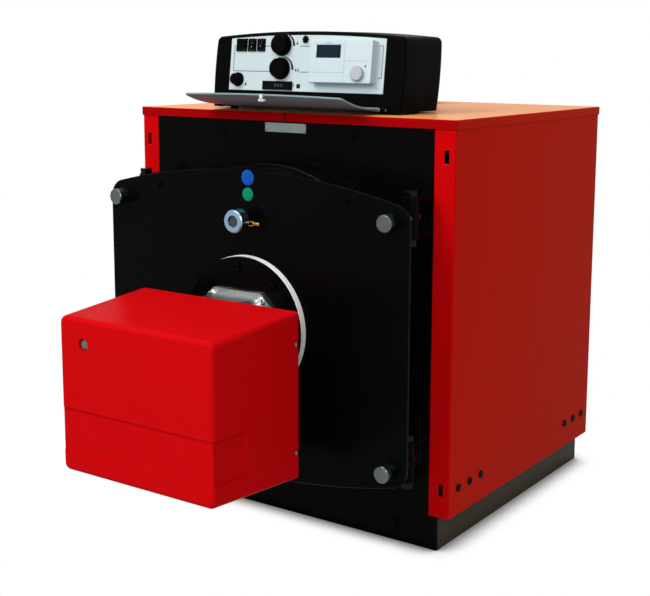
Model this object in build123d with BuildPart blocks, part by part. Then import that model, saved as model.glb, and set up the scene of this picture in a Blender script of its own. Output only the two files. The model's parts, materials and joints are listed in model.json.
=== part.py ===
from build123d import *
import os
from math import cos, radians, sin, sqrt, tan

# Steel hot-water boiler with a swing-out burner door, in millimetres.
# X runs to the right, Y to the back and Z up, and the origin is on the floor under the middle.

# Fits and cuts shared by all pieces
fit = 0.3
overrun = 5

# Pressure vessel, which sets the size of the casing and the door
shell_radius = 300
shell_wall = 6
shell_reach = 50
floor_gap = 108
top_gap = 94
side_gap = 48
collar_rise = 14
collar_length = 26
tube_plate = 10
tube_plate_inset = 5
furnace_wall = 6
furnace_back_gap = 75
furnace_tube_gap = 37
tube_count = 14
tube_radius = 26
tube_wall = 3
tube_edge_gap = 25
turbulator_sheet = 2
turbulator_sway = 8
turbulator_fold = 30
turbulator_fold_count = 10
turbulator_inset = 6

# Red sheet casing
casing_depth = 635
panel_gap = 27
sheet = 2
bend_radius = 3
cover_lip = 17
cover_seam = 1.5
panel_bottom = 67
flange_width = 42
slot_width = 10
slot_height = 24
slot_inset = 17.5
slot_from_top = 66
slot_from_bottom = 53
plug_inset = 35.5
plug_pitch = 44
plug_rise = 52
plug_count = 3
plug_head_radius = 7.5
plug_head = 2.5
plug_stem_radius = 5
plug_stem = 8

# Black end plates and base rails
end_plate = 5
rail_height = 60
rail_width = 30
rail_wall = 4
keyhole_inset = 86
keyhole_z = 44
keyhole_radius = 10
keyhole_slot = 8
keyhole_drop = 22

# Smoke box and flue collar
smoke_box_depth = 95
smoke_box_wall = 3
smoke_flange_width = 18
smoke_flange = 6
flue_radius = 90
flue_wall = 2
flue_length = 65
flue_seat = 20

# Water sockets on the top and the drain at the back
flow_share = 0.33
return_share = 0.69
socket_bore = 28
socket_radius = 35
socket_thread_radius = 29.8
socket_ring_radius = 40
socket_ring = 30
socket_rise = 42
drain_back_gap = 60
drain_drop = 60
drain_radius = 13.3
drain_bore = 10
drain_bend = 32
drain_reach = 45
drain_end_radius = 16.6
drain_end_length = 26

# Hinges and tie bolts at the four corners of the door
hinge_play = 1
hinge_gap = 54
lug_half_spacing = 34
lug_thickness = 8
lug_radius = 14
pad_thickness = 8
pin_radius = 8
pin_reach = 14
pin_head_radius = 12
pin_head = 12
bolt_drop = 24
bolt_radius = 9
bolt_head_radius = 15.5
bolt_head = 27
bolt_head_edge = 1.5
bolt_tail = 19
bolt_play = 2

# Door plate and its drum
door_side = 36
door_corner_drop = 53
door_arch_drop = 7
door_corner_radius = 34
door_plate_sheet = 6
door_edge = 1
door_gap = 117
seal_thickness = 5.7
seal_width = 14
plug_play = 10
plug_reach = 16

# Burner on the door
burner_plate_radius = 132.5
burner_plate_sheet = 8
gasket_overhang = 1
gasket_thickness = 13
blast_radius = 60
blast_wall = 3
blast_reach = 55
blast_play = 2
flange_half_width = 80
flange_half_height = 72
flange_corner = 24
flange_thickness = 14
flange_bore = 50
neck_half_width = 62
neck_corner = 18
hood_gap = 80
hood_depth = 221
hood_shift = -10
hood_front_width = 354
hood_back_width = 372
hood_front_rise = 49
hood_front_drop = 235
hood_back_rise = 62
hood_back_drop = 243
hood_front_corner = 14
hood_back_corner = 6
hood_edge = 9
band_rise = 37
band_height = 80
band_reach = 82
band_depth = 3
peephole_inset = 59
peephole_drop = 46
peephole_radius = 11
peephole_depth = 6

# Sight glass over the burner
sight_gap = 69.5
sight_tube_radius = 13
sight_bore = 9
sight_tube_length = 23
sight_nut_radius = 21.5
sight_nut_length = 22
sight_nut_edge = 2
lens_radius = 11
lens_thickness = 4
lens_set_back = 3
nipple_drop = 6
nipple_radius = 5.5
nipple_length = 12
nipple_tip_radius = 3.5
nipple_tip = 12

# Control panel on its feet, raked back by the panel tilt
panel_tilt = 7
panel_shift = -4
foot_height = 4
foot_radius = 9
foot_side = 36
foot_inset = 28
housing_front = 66
housing_depth = 142
housing_arch = 11
housing_bulge = 3
housing_corner = 12
housing_back_radius = 10
housing_edge = 6
fascia_border = 40
fascia_lift = 34
fascia_height = 103
fascia_arch = 7
fascia_top_border = 3
fascia_sheet = 5
fascia_proud = 1

# Curved flap that hangs open before the fascia
flap_sheet = 3
flap_reach = 130
flap_rise = 26
flap_bulge = 7
flap_corner = 8
flap_barrel = 4
flap_gap = 4
flap_rest = 5.5
flap_play = 5
flap_pin_radius = 2.5
flap_lug_radius = 5.5
flap_lug_width = 10

# Controls on the fascia, from left to right
switch_margin = 15
switch_top_margin = 0.5
switch_gap = 4
switch_height = 25
switch_border = 2
switch_depth = 3.2
switch_play = 0.8
switch_tilt = 7
rocker_thickness = 1.8
rocker_ridge = 1.6
main_switch_width = 26
small_switch_width = 19
cap_inset = 9
cap_rise = 21
cap_radius = 11
cap_height = 12
cap_skirt_radius = 14
cap_skirt = 3
display_shift = 6
display_margin = 2
display_width = 72
display_height = 17
display_depth = 4
knob_margin = 22
knob_spacing = 3.5
knob_radius = 21.5
knob_skirt = 5
knob_grip_radius = 19
knob_grip = 11
knob_flute_radius = 1.4
knob_flute_count = 28
knob_edge = 1.2
knob_gap = 0.5
shaft_radius = 3
shaft_length = 4
controller_gap = 59
controller_margin = 17
controller_rise = 17
controller_width = 144
controller_height = 82
controller_depth = 20
controller_edge = 3
screen_margin = 16
screen_drop = 10
screen_width = 57
screen_height = 25
screen_inset = 1.5
dial_inset = 29
dial_rise = 18
dial_radius = 14
dial_height = 7
dial_edge = 1
dial_rib_count = 18
dial_rib_radius = 1.2

# Places of the vessel, the casing and the door that follow from the sizes above
axis_height = floor_gap + shell_radius
shell_inner = shell_radius - shell_wall
tube_circle_radius = shell_inner - tube_edge_gap - tube_radius
furnace_radius = tube_circle_radius - tube_radius - furnace_tube_gap
furnace_length = casing_depth - furnace_back_gap
casing_height = axis_height + shell_radius + top_gap
base_width = 2 * (shell_radius + side_gap)
half_width = base_width / 2 + panel_gap
front_reach = door_gap + hood_gap + hood_depth
rear_reach = smoke_box_depth + flue_length
front_y = front_reach - (front_reach + casing_depth + rear_reach) / 2
back_y = front_y + casing_depth
panel_x = half_width - sheet
cover_under = casing_height - sheet
front_plate_y = front_y + sheet
rear_plate_y = back_y - sheet - end_plate
shell_front_y = front_y - shell_reach
door_y = front_y - door_gap
door_back_y = door_y + door_plate_sheet
rim_end_y = shell_front_y - fit - seal_thickness
drain_y = back_y - drain_back_gap
drain_height = floor_gap - drain_drop
hinge_x = panel_x - flange_width - hinge_play - lug_radius
hinge_y = front_y - hinge_gap
door_half_width = hinge_x + door_side
door_corner_rise = shell_radius - door_corner_drop
door_arch_rise = shell_radius - door_arch_drop
hinge_rise = door_corner_rise - bolt_drop
hinge_levels = (axis_height + hinge_rise, axis_height - hinge_rise)

# Places of the burner
burner_plate_y = door_y - gasket_thickness
flange_y = burner_plate_y - burner_plate_sheet
neck_y = flange_y - flange_thickness
hood_back_y = door_y - hood_gap
hood_front_y = hood_back_y - hood_depth
band_bottom = axis_height - hood_front_drop + band_rise
peephole_z = axis_height + hood_front_rise - peephole_drop
sight_z = axis_height + burner_plate_radius + sight_gap

# Places of the control panel, where those on the fascia count from its middle
fascia_half_width = (
    switch_margin + main_switch_width + 2 * (switch_gap + small_switch_width) + knob_margin
    + 2 * knob_radius + controller_gap + controller_width + controller_margin
) / 2
fascia_bottom = -fascia_height / 2
housing_half_width = fascia_half_width + fascia_border
housing_left = panel_shift - housing_half_width
housing_right = panel_shift + housing_half_width
housing_rise = fascia_lift + fascia_height + fascia_top_border
housing_z = casing_height + foot_height
housing_y = front_y + housing_front
housing_back_y = housing_y + housing_depth
housing_rake = (fascia_lift + fascia_height / 2) * tan(radians(panel_tilt))
flap_y = housing_y - housing_rake - flap_gap - flap_barrel
flap_z = casing_height + flap_rest + flap_barrel
flap_lug_length = housing_rake + flap_gap + flap_barrel
main_switch_x = switch_margin + main_switch_width / 2 - fascia_half_width
mode_switch_x = main_switch_x + (main_switch_width + small_switch_width) / 2 + switch_gap
test_switch_x = mode_switch_x + small_switch_width + switch_gap
switch_rise = fascia_height / 2 - switch_top_margin - switch_height / 2
knob_x = test_switch_x + small_switch_width / 2 + knob_margin + knob_radius
knob_lower_rise = fascia_bottom + display_margin + display_height + knob_spacing + knob_radius
knob_upper_rise = knob_lower_rise + 2 * knob_radius + knob_spacing
controller_x = knob_x + knob_radius + controller_gap + controller_width / 2
controller_bottom = fascia_bottom + controller_rise
dial_spot = (controller_x + controller_width / 2 - dial_inset, controller_bottom + dial_rise)
water_run = back_y - housing_back_y
water_depths = [housing_back_y + share * water_run for share in (flow_share, return_share)]
socket_top = casing_height + socket_rise


def facing(y):
    """Plane at depth y seen from the front, with X to the right and Z up; it extrudes forwards."""
    return Plane.XZ.offset(-y)


def panel(out):
    """Plane of the raked fascia, moved out from its front face, with its origin at the middle."""
    slope = radians(panel_tilt)
    middle = (panel_shift, housing_y, housing_z + fascia_lift + fascia_height / 2)
    return Plane(origin=middle, x_dir=(1, 0, 0), z_dir=(0, -cos(slope), sin(slope))).offset(out)


def corner_points(x, rise):
    """The four points at plus and minus x, above and below the furnace axis."""
    return [(sx * x, axis_height + sz * rise) for sx in (1, -1) for sz in (1, -1)]


os.makedirs("parts", exist_ok=True)
pieces = []


def finish(builder, name):
    """Labels a finished piece and keeps it for writing."""
    builder.part.label = name
    pieces.append(builder.part)


# Front plate: stands on the floor, holds the vessel and carries the hinges
with BuildPart() as front_plate:
    with BuildSketch(facing(front_plate_y)):
        Rectangle(base_width, cover_under, align=(Align.CENTER, Align.MIN))
        with Locations((0, axis_height)):
            Circle(shell_radius + fit, mode=Mode.SUBTRACT)
        for side in (1, -1):
            with Locations((side * (base_width / 2 - keyhole_inset), keyhole_z)):
                Circle(keyhole_radius, mode=Mode.SUBTRACT)
                Rectangle(keyhole_slot, keyhole_drop, align=(Align.CENTER, Align.MAX), mode=Mode.SUBTRACT)
    extrude(amount=-end_plate)
finish(front_plate, "front_plate")

# Rear plate: the red back of the casing, with the openings for the vessel and the drain
with BuildPart() as rear_plate:
    with BuildSketch(facing(rear_plate_y)):
        Rectangle(base_width, cover_under, align=(Align.CENTER, Align.MIN))
        with Locations((0, axis_height)):
            Circle(shell_radius + fit, mode=Mode.SUBTRACT)
        with Locations((0, drain_height)):
            Circle(drain_radius + fit, mode=Mode.SUBTRACT)
    extrude(amount=-end_plate)
finish(rear_plate, "rear_plate")

# Base rails: two channels that tie the end plates at floor level
with BuildPart() as base_rails:
    for side in (1, -1):
        with BuildSketch(facing(front_plate_y + end_plate)):
            with Locations((side * (base_width - rail_width) / 2, rail_height / 2)):
                Rectangle(rail_width, rail_height)
            with Locations((side * (base_width - rail_width - 2 * rail_wall) / 2, rail_height / 2)):
                Rectangle(rail_width, rail_height - 2 * rail_wall, mode=Mode.SUBTRACT)
    extrude(amount=-(rear_plate_y - front_plate_y - end_plate))
finish(base_rails, "base_rails")

# Pressure vessel: outer shell, pierced for the water sockets and the drain
with BuildPart() as boiler_shell:
    with BuildSketch(facing(shell_front_y)):
        with Locations((0, axis_height)):
            Circle(shell_radius)
            Circle(shell_inner, mode=Mode.SUBTRACT)
    extrude(amount=-(shell_reach + casing_depth))
    with BuildSketch(Plane.XY.offset(axis_height)):
        with Locations(*[(0, y) for y in water_depths]):
            Circle(socket_bore)
    extrude(amount=shell_radius + overrun, mode=Mode.SUBTRACT)
    with BuildSketch(Plane.XY.offset(axis_height)):
        with Locations((0, drain_y)):
            Circle(drain_bore)
    extrude(amount=-shell_radius - overrun, mode=Mode.SUBTRACT)
finish(boiler_shell, "boiler_shell")

# Front collar: ring round the vessel where it leaves the front plate
with BuildPart() as front_collar:
    with BuildSketch(facing(front_plate_y)):
        with Locations((0, axis_height)):
            Circle(shell_radius + collar_rise)
            Circle(shell_radius + fit, mode=Mode.SUBTRACT)
    extrude(amount=collar_length)
finish(front_collar, "front_collar")

# Tube plates: the front one also holds the furnace mouth
with BuildPart() as front_tube_plate:
    with BuildSketch(facing(front_y)):
        with Locations((0, axis_height)):
            Circle(shell_inner - fit)
            Circle(furnace_radius + fit, mode=Mode.SUBTRACT)
            with PolarLocations(tube_circle_radius, tube_count):
                Circle(tube_radius + fit, mode=Mode.SUBTRACT)
    extrude(amount=-tube_plate)
finish(front_tube_plate, "front_tube_plate")

rear_tube_plate_y = back_y - tube_plate_inset - tube_plate
with BuildPart() as rear_tube_plate:
    with BuildSketch(facing(rear_tube_plate_y)):
        with Locations((0, axis_height)):
            Circle(shell_inner - fit)
            with PolarLocations(tube_circle_radius, tube_count):
                Circle(tube_radius + fit, mode=Mode.SUBTRACT)
    extrude(amount=-tube_plate)
finish(rear_tube_plate, "rear_tube_plate")

# Furnace: a tube closed at the back, where the flame turns round
with BuildPart() as furnace_tube:
    with BuildSketch(facing(front_y)):
        with Locations((0, axis_height)):
            Circle(furnace_radius)
    extrude(amount=-furnace_length)
    with BuildSketch(facing(front_y)):
        with Locations((0, axis_height)):
            Circle(furnace_radius - furnace_wall)
    extrude(amount=-(furnace_length - furnace_wall), mode=Mode.SUBTRACT)
finish(furnace_tube, "furnace_tube")

# Smoke tubes round the furnace
tube_length = rear_tube_plate_y + tube_plate - front_y
with BuildPart() as smoke_tubes:
    with BuildSketch(facing(front_y)):
        with Locations((0, axis_height)):
            with PolarLocations(tube_circle_radius, tube_count):
                Circle(tube_radius)
                Circle(tube_radius - tube_wall, mode=Mode.SUBTRACT)
    extrude(amount=-tube_length)
finish(smoke_tubes, "smoke_tubes")

# Turbulators: a strip folded to and fro in the mouth of each smoke tube
turbulator_reach = turbulator_sway + turbulator_sheet
turbulator_half_width = sqrt((tube_radius - tube_wall) ** 2 - turbulator_reach**2) - fit
fold_places = [
    (front_y + turbulator_inset + i * turbulator_fold, turbulator_sway * (-1) ** i)
    for i in range(turbulator_fold_count + 1)
]
with BuildPart() as turbulators:
    for i in range(tube_count):
        turn = radians(i * 360 / tube_count)
        strip_x = tube_circle_radius * cos(turn)
        strip_z = axis_height + tube_circle_radius * sin(turn)
        upper_edge = [(y, strip_z + sway + turbulator_sheet / 2) for y, sway in fold_places]
        lower_edge = [(y, strip_z + sway - turbulator_sheet / 2) for y, sway in reversed(fold_places)]
        with BuildSketch(Plane.YZ.offset(strip_x)):
            with BuildLine():
                Polyline(*upper_edge, *lower_edge, close=True)
            make_face()
    extrude(amount=turbulator_half_width, both=True)
finish(turbulators, "turbulators")

# Smoke box: flanged drum on the back of the vessel, closed by a plate
with BuildPart() as smoke_box:
    for drum_radius, drum_length in (
        (shell_radius + smoke_flange_width, smoke_flange),
        (shell_radius, smoke_box_depth - smoke_box_wall),
    ):
        with BuildSketch(facing(back_y)):
            with Locations((0, axis_height)):
                Circle(drum_radius)
                Circle(shell_inner, mode=Mode.SUBTRACT)
        extrude(amount=-drum_length)
finish(smoke_box, "smoke_box")

with BuildPart() as smoke_box_back:
    with BuildSketch(facing(back_y + smoke_box_depth)):
        with Locations((0, axis_height)):
            Circle(shell_radius)
            Circle(flue_radius + flue_wall + fit, mode=Mode.SUBTRACT)
    extrude(amount=smoke_box_wall)
finish(smoke_box_back, "smoke_box_back")

# Flue collar: the round outlet on the smoke box, with a rim that seats on its back
with BuildPart() as flue_collar:
    with BuildSketch(facing(back_y + smoke_box_depth - flue_seat)):
        with Locations((0, axis_height)):
            Circle(flue_radius + flue_wall)
    extrude(amount=-(flue_seat + flue_length))
    with BuildSketch(facing(back_y + smoke_box_depth)):
        with Locations((0, axis_height)):
            Circle(flue_radius + flue_seat)
    extrude(amount=-smoke_box_wall)
    with BuildSketch(facing(back_y)):
        with Locations((0, axis_height)):
            Circle(flue_radius)
    extrude(amount=-(smoke_box_depth + flue_length + overrun), mode=Mode.SUBTRACT)
finish(flue_collar, "flue_collar")

# Water sockets: flow and return, saddled on the top of the vessel, with a wider seat for the thread
with BuildPart() as water_sockets:
    with BuildSketch(Plane.XY.offset(axis_height)):
        with Locations(*[(0, y) for y in water_depths]):
            Circle(socket_radius)
    extrude(amount=socket_top - axis_height)
    with BuildSketch(Plane.XY.offset(socket_top)):
        with Locations(*[(0, y) for y in water_depths]):
            Circle(socket_ring_radius)
    extrude(amount=-socket_ring)
    with BuildSketch(Plane.XY.offset(axis_height)):
        with Locations(*[(0, y) for y in water_depths]):
            Circle(socket_bore)
    extrude(amount=socket_top + overrun - axis_height, mode=Mode.SUBTRACT)
    with BuildSketch(Plane.XY.offset(socket_top)):
        with Locations(*[(0, y) for y in water_depths]):
            Circle(socket_thread_radius)
    extrude(amount=-socket_ring, mode=Mode.SUBTRACT)
    with BuildSketch(facing(front_y)):
        with Locations((0, axis_height)):
            Circle(shell_radius)
    extrude(amount=-casing_depth, mode=Mode.SUBTRACT)
finish(water_sockets, "water_sockets")

# Drain: a bent pipe from the bottom of the vessel out through the rear plate, with a thicker end
with BuildPart() as drain_pipe:
    drain_top = axis_height - shell_inner
    with BuildLine():
        drain_path = FilletPolyline(
            (0, drain_y, drain_top),
            (0, drain_y, drain_height),
            (0, back_y + drain_reach, drain_height),
            radius=drain_bend,
        )
    with BuildSketch(Plane(origin=(0, drain_y, drain_top), z_dir=(0, 0, -1))):
        Circle(drain_radius)
        Circle(drain_bore, mode=Mode.SUBTRACT)
    sweep(path=drain_path)
    with BuildSketch(facing(back_y + drain_reach)):
        with Locations((0, drain_height)):
            Circle(drain_end_radius)
            Circle(drain_bore, mode=Mode.SUBTRACT)
    extrude(amount=drain_end_length)
    with BuildSketch(facing(front_y)):
        with Locations((0, axis_height)):
            Circle(shell_radius)
    extrude(amount=-casing_depth, mode=Mode.SUBTRACT)
finish(drain_pipe, "drain_pipe")

# Side panels: folded sheets with a slotted flange at the front and a plain one at the back
panel_height = cover_under - panel_bottom
plug_places = [front_y + plug_inset + i * plug_pitch for i in range(plug_count)]
plug_places += [back_y - plug_inset - i * plug_pitch for i in range(plug_count)]
slot_levels = (casing_height - slot_from_top, panel_bottom + slot_from_bottom)
with BuildPart() as side_panel_right:
    with BuildSketch(Plane.XY.offset(panel_bottom)):
        with Locations((panel_x - flange_width / 2, (front_y + back_y) / 2)):
            Rectangle(flange_width, casing_depth)
    extrude(amount=panel_height)
    fillet(edges().filter_by(Axis.Z).group_by(Axis.X)[-1], bend_radius)
    with BuildSketch(Plane.XY.offset(panel_bottom)):
        with Locations((panel_x - sheet - flange_width / 2, (front_y + back_y) / 2)):
            Rectangle(flange_width, casing_depth - 2 * sheet)
    extrude(amount=panel_height, mode=Mode.SUBTRACT)
    with BuildSketch(facing(front_y)):
        with Locations(*[(panel_x - slot_inset, z) for z in slot_levels]):
            Rectangle(slot_width, slot_height)
    extrude(amount=-sheet, mode=Mode.SUBTRACT)
    with BuildSketch(Plane.YZ.offset(panel_x)):
        with Locations(*[(y, panel_bottom + plug_rise) for y in plug_places]):
            Circle(plug_stem_radius + fit)
    extrude(amount=-sheet, mode=Mode.SUBTRACT)
finish(side_panel_right, "side_panel_right")

with BuildPart() as side_panel_left:
    mirror(side_panel_right.part, about=Plane.YZ)
finish(side_panel_left, "side_panel_left")

# Side plugs: black plastic plugs in the row of holes along the foot of each side panel
with BuildPart() as side_plugs:
    for side_plane, outwards in ((Plane.YZ.offset(panel_x), 1), (Plane.YZ.offset(-panel_x), -1)):
        with BuildSketch(side_plane):
            with Locations(*[(y, panel_bottom + plug_rise) for y in plug_places]):
                Circle(plug_head_radius)
        extrude(amount=outwards * plug_head)
        with BuildSketch(side_plane):
            with Locations(*[(y, panel_bottom + plug_rise) for y in plug_places]):
                Circle(plug_stem_radius)
        extrude(amount=-outwards * plug_stem)
finish(side_plugs, "side_plugs")

# Top covers: two lipped halves that meet at a seam on the middle line
with BuildPart() as top_cover_right:
    cover_length = casing_depth + 2 * sheet
    cover_half = half_width - cover_seam / 2
    with BuildSketch(Plane.XY.offset(casing_height)):
        with Locations((half_width - cover_half / 2, (front_y + back_y) / 2)):
            Rectangle(cover_half, cover_length)
    extrude(amount=-cover_lip)
    fillet(edges().filter_by(Axis.Z).group_by(Axis.X)[-1], bend_radius)
    fillet(faces().sort_by(Axis.Z)[-1].edges().filter_by(Axis.Y).sort_by(Axis.X)[-1], sheet)
    with BuildSketch(Plane.XY.offset(cover_under)):
        with Locations((panel_x - half_width / 2, (front_y + back_y) / 2)):
            Rectangle(half_width, casing_depth)
    extrude(amount=-cover_lip, mode=Mode.SUBTRACT)
    with BuildSketch(Plane.XY.offset(casing_height)):
        with Locations(*[(0, y) for y in water_depths]):
            Circle(socket_radius + sheet)
    extrude(amount=-cover_lip, mode=Mode.SUBTRACT)
finish(top_cover_right, "top_cover_right")

with BuildPart() as top_cover_left:
    mirror(top_cover_right.part, about=Plane.YZ)
finish(top_cover_left, "top_cover_left")

# Hinge brackets: a pad with two bored lugs at each corner of the door
lug_middles = [level + way * lug_half_spacing for level in hinge_levels for way in (1, -1)]
hinge_spots = [(side * hinge_x, hinge_y) for side in (1, -1)]
with BuildPart() as hinge_brackets:
    with BuildSketch(facing(front_plate_y)):
        with Locations(*corner_points(hinge_x, hinge_rise)):
            Rectangle(2 * lug_radius, 2 * lug_half_spacing + lug_thickness)
    extrude(amount=pad_thickness)
    for lug_middle in lug_middles:
        with BuildSketch(Plane.XY.offset(lug_middle - lug_thickness / 2)):
            with Locations(*hinge_spots):
                Circle(lug_radius)
                Rectangle(2 * lug_radius, hinge_gap + sheet, align=(Align.CENTER, Align.MIN))
                Circle(pin_radius, mode=Mode.SUBTRACT)
        extrude(amount=lug_thickness)
finish(hinge_brackets, "hinge_brackets")

# Hinge pins: short headed trunnions through each lug
with BuildPart() as hinge_pins:
    for level in hinge_levels:
        for way in (1, -1):
            with BuildSketch(Plane.XY.offset(level + way * pin_reach)):
                with Locations(*hinge_spots):
                    Circle(pin_radius)
            extrude(amount=way * (lug_half_spacing + lug_thickness / 2 - pin_reach))
            with BuildSketch(Plane.XY.offset(level + way * (lug_half_spacing + lug_thickness / 2))):
                with Locations(*hinge_spots):
                    RegularPolygon(pin_head_radius, 6)
            extrude(amount=way * pin_head)
finish(hinge_pins, "hinge_pins")

# Pivot blocks: barrels on the pins that take the tie bolts; the right pair swings with the door
block_half = lug_half_spacing - lug_thickness / 2 - fit
for side, block_name, block_bore in (
    (1, "pivot_blocks_right", bolt_radius + fit),
    (-1, "pivot_blocks_left", bolt_radius + bolt_play),
):
    with BuildPart() as pivot_blocks:
        for level in hinge_levels:
            with BuildSketch(Plane.XY.offset(level - block_half)):
                with Locations((side * hinge_x, hinge_y)):
                    Circle(lug_radius)
            extrude(amount=2 * block_half)
            for way in (1, -1):
                with BuildSketch(Plane.XY.offset(level + way * block_half)):
                    with Locations((side * hinge_x, hinge_y)):
                        Circle(pin_radius + fit)
                extrude(amount=-way * (block_half - pin_reach + fit), mode=Mode.SUBTRACT)
        with BuildSketch(facing(hinge_y)):
            with Locations(*[(side * hinge_x, level) for level in hinge_levels]):
                Circle(block_bore)
        extrude(amount=lug_radius, both=True, mode=Mode.SUBTRACT)
    finish(pivot_blocks, block_name)

# Door plate: arched at the top and bottom, pierced for the burner, the sight tube and the tie bolts
with BuildPart() as door_plate:
    with BuildSketch(facing(door_y)) as door_outline:
        with BuildLine():
            top_arch = ThreePointArc(
                (-door_half_width, axis_height + door_corner_rise),
                (0, axis_height + door_arch_rise),
                (door_half_width, axis_height + door_corner_rise),
            )
            bottom_arch = ThreePointArc(
                (-door_half_width, axis_height - door_corner_rise),
                (0, axis_height - door_arch_rise),
                (door_half_width, axis_height - door_corner_rise),
            )
            Line(top_arch @ 0, bottom_arch @ 0)
            Line(top_arch @ 1, bottom_arch @ 1)
        make_face()
        fillet(door_outline.vertices(), door_corner_radius)
    extrude(amount=-door_plate_sheet)
    chamfer(faces().sort_by(Axis.Y)[0].edges(), door_edge)
    with BuildSketch(facing(door_y)):
        with Locations((0, axis_height)):
            Circle(blast_radius + blast_play)
        with Locations((0, sight_z)):
            Circle(sight_tube_radius + fit)
        with Locations(*corner_points(hinge_x, hinge_rise)):
            Circle(bolt_radius + fit)
    extrude(amount=-door_plate_sheet, mode=Mode.SUBTRACT)
finish(door_plate, "door_plate")

# Door rim: short drum behind the plate that meets the vessel
with BuildPart() as door_rim:
    with BuildSketch(facing(door_back_y)):
        with Locations((0, axis_height)):
            Circle(shell_radius)
            Circle(shell_inner, mode=Mode.SUBTRACT)
    extrude(amount=-(rim_end_y - door_back_y))
finish(door_rim, "door_rim")

# Door insulation: refractory block that fills the rim and steps into the vessel's mouth
with BuildPart() as door_insulation:
    with BuildSketch(facing(door_back_y)):
        with Locations((0, axis_height)):
            Circle(shell_inner - fit)
    extrude(amount=-(rim_end_y - door_back_y))
    with BuildSketch(facing(rim_end_y)):
        with Locations((0, axis_height)):
            Circle(shell_inner - plug_play)
    extrude(amount=-plug_reach)
    with BuildSketch(facing(door_back_y)):
        with Locations((0, axis_height)):
            Circle(blast_radius + blast_play)
        with Locations((0, sight_z)):
            Circle(sight_bore)
    extrude(amount=-(rim_end_y + plug_reach - door_back_y), mode=Mode.SUBTRACT)
finish(door_insulation, "door_insulation")

# Door seal: rope ring between the rim and the vessel
with BuildPart() as door_seal:
    with BuildSketch(facing(rim_end_y)):
        with Locations((0, axis_height)):
            Circle(shell_radius)
            Circle(shell_radius - seal_width, mode=Mode.SUBTRACT)
    extrude(amount=-seal_thickness)
finish(door_seal, "door_seal")

# Tie bolts: plain round heads on the plate, shanks through to the pivot blocks
with BuildPart() as tie_bolts:
    with BuildSketch(facing(door_y)):
        with Locations(*corner_points(hinge_x, hinge_rise)):
            Circle(bolt_head_radius)
    extrude(amount=bolt_head)
    chamfer(faces().group_by(Axis.Y)[0].edges(), bolt_head_edge)
    with BuildSketch(facing(door_y)):
        with Locations(*corner_points(hinge_x, hinge_rise)):
            Circle(bolt_radius)
    extrude(amount=-(door_gap - hinge_gap + bolt_tail))
finish(tie_bolts, "tie_bolts")

# Burner plate on its white gasket
with BuildPart() as burner_gasket:
    with BuildSketch(facing(door_y)):
        with Locations((0, axis_height)):
            Circle(burner_plate_radius + gasket_overhang)
            Circle(blast_radius + blast_play, mode=Mode.SUBTRACT)
    extrude(amount=gasket_thickness)
finish(burner_gasket, "burner_gasket")

with BuildPart() as burner_plate:
    with BuildSketch(facing(burner_plate_y)):
        with Locations((0, axis_height)):
            Circle(burner_plate_radius)
            Circle(blast_radius + blast_play, mode=Mode.SUBTRACT)
    extrude(amount=burner_plate_sheet)
finish(burner_plate, "burner_plate")

# Burner flange: cast plate with cut corners
with BuildPart() as burner_flange:
    with BuildSketch(facing(flange_y)) as flange_outline:
        with Locations((0, axis_height)):
            Rectangle(2 * flange_half_width, 2 * flange_half_height)
        chamfer(flange_outline.vertices(), flange_corner)
        with Locations((0, axis_height)):
            Circle(flange_bore, mode=Mode.SUBTRACT)
    extrude(amount=flange_thickness)
finish(burner_flange, "burner_flange")

# Burner neck: cast housing between the flange and the hood
with BuildPart() as burner_neck:
    with BuildSketch(facing(neck_y)):
        with Locations((0, axis_height)):
            RectangleRounded(2 * neck_half_width, 2 * neck_half_width, neck_corner)
    extrude(amount=neck_y - hood_back_y)
finish(burner_neck, "burner_neck")

# Blast tube: carries the flame through the door into the furnace
with BuildPart() as blast_tube:
    with BuildSketch(facing(flange_y)):
        with Locations((0, axis_height)):
            Circle(blast_radius)
            Circle(blast_radius - blast_wall, mode=Mode.SUBTRACT)
    extrude(amount=-(front_y + blast_reach - flange_y))
finish(blast_tube, "blast_tube")

# Burner hood: moulded cover, drafted towards the front, with a recessed band and a round window
with BuildPart() as burner_hood:
    for hood_y, hood_width, hood_rise, hood_drop, hood_corner in (
        (hood_back_y, hood_back_width, hood_back_rise, hood_back_drop, hood_back_corner),
        (hood_front_y, hood_front_width, hood_front_rise, hood_front_drop, hood_front_corner),
    ):
        with BuildSketch(facing(hood_y)):
            with Locations((hood_shift, axis_height + (hood_rise - hood_drop) / 2)):
                RectangleRounded(hood_width, hood_rise + hood_drop, hood_corner)
    loft()
    fillet(faces().sort_by(Axis.Y)[0].edges(), hood_edge)
    band_width = max(hood_front_width, hood_back_width)
    with BuildSketch(facing(hood_front_y)):
        with Locations((hood_shift, band_bottom + band_height / 2)):
            Rectangle(band_width, band_height)
            Rectangle(hood_front_width - 2 * band_depth, band_height, mode=Mode.SUBTRACT)
    extrude(amount=-band_reach, mode=Mode.SUBTRACT)
    with BuildSketch(facing(hood_front_y)):
        with Locations((hood_shift, band_bottom + band_height / 2)):
            Rectangle(band_width, band_height)
    extrude(amount=-band_depth, mode=Mode.SUBTRACT)
    with BuildSketch(facing(hood_front_y)):
        with Locations((hood_shift - hood_front_width / 2 + peephole_inset, peephole_z)):
            Circle(peephole_radius)
    extrude(amount=-peephole_depth, mode=Mode.SUBTRACT)
finish(burner_hood, "burner_hood")

# Sight glass: tube on the plate, ring nut, lens and a brass pressure nipple
sight_nut_y = door_y - sight_tube_length
with BuildPart() as sight_tube:
    with BuildSketch(facing(door_back_y)):
        with Locations((0, sight_z)):
            Circle(sight_tube_radius)
            Circle(sight_bore, mode=Mode.SUBTRACT)
    extrude(amount=door_back_y - sight_nut_y)
finish(sight_tube, "sight_tube")

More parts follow.
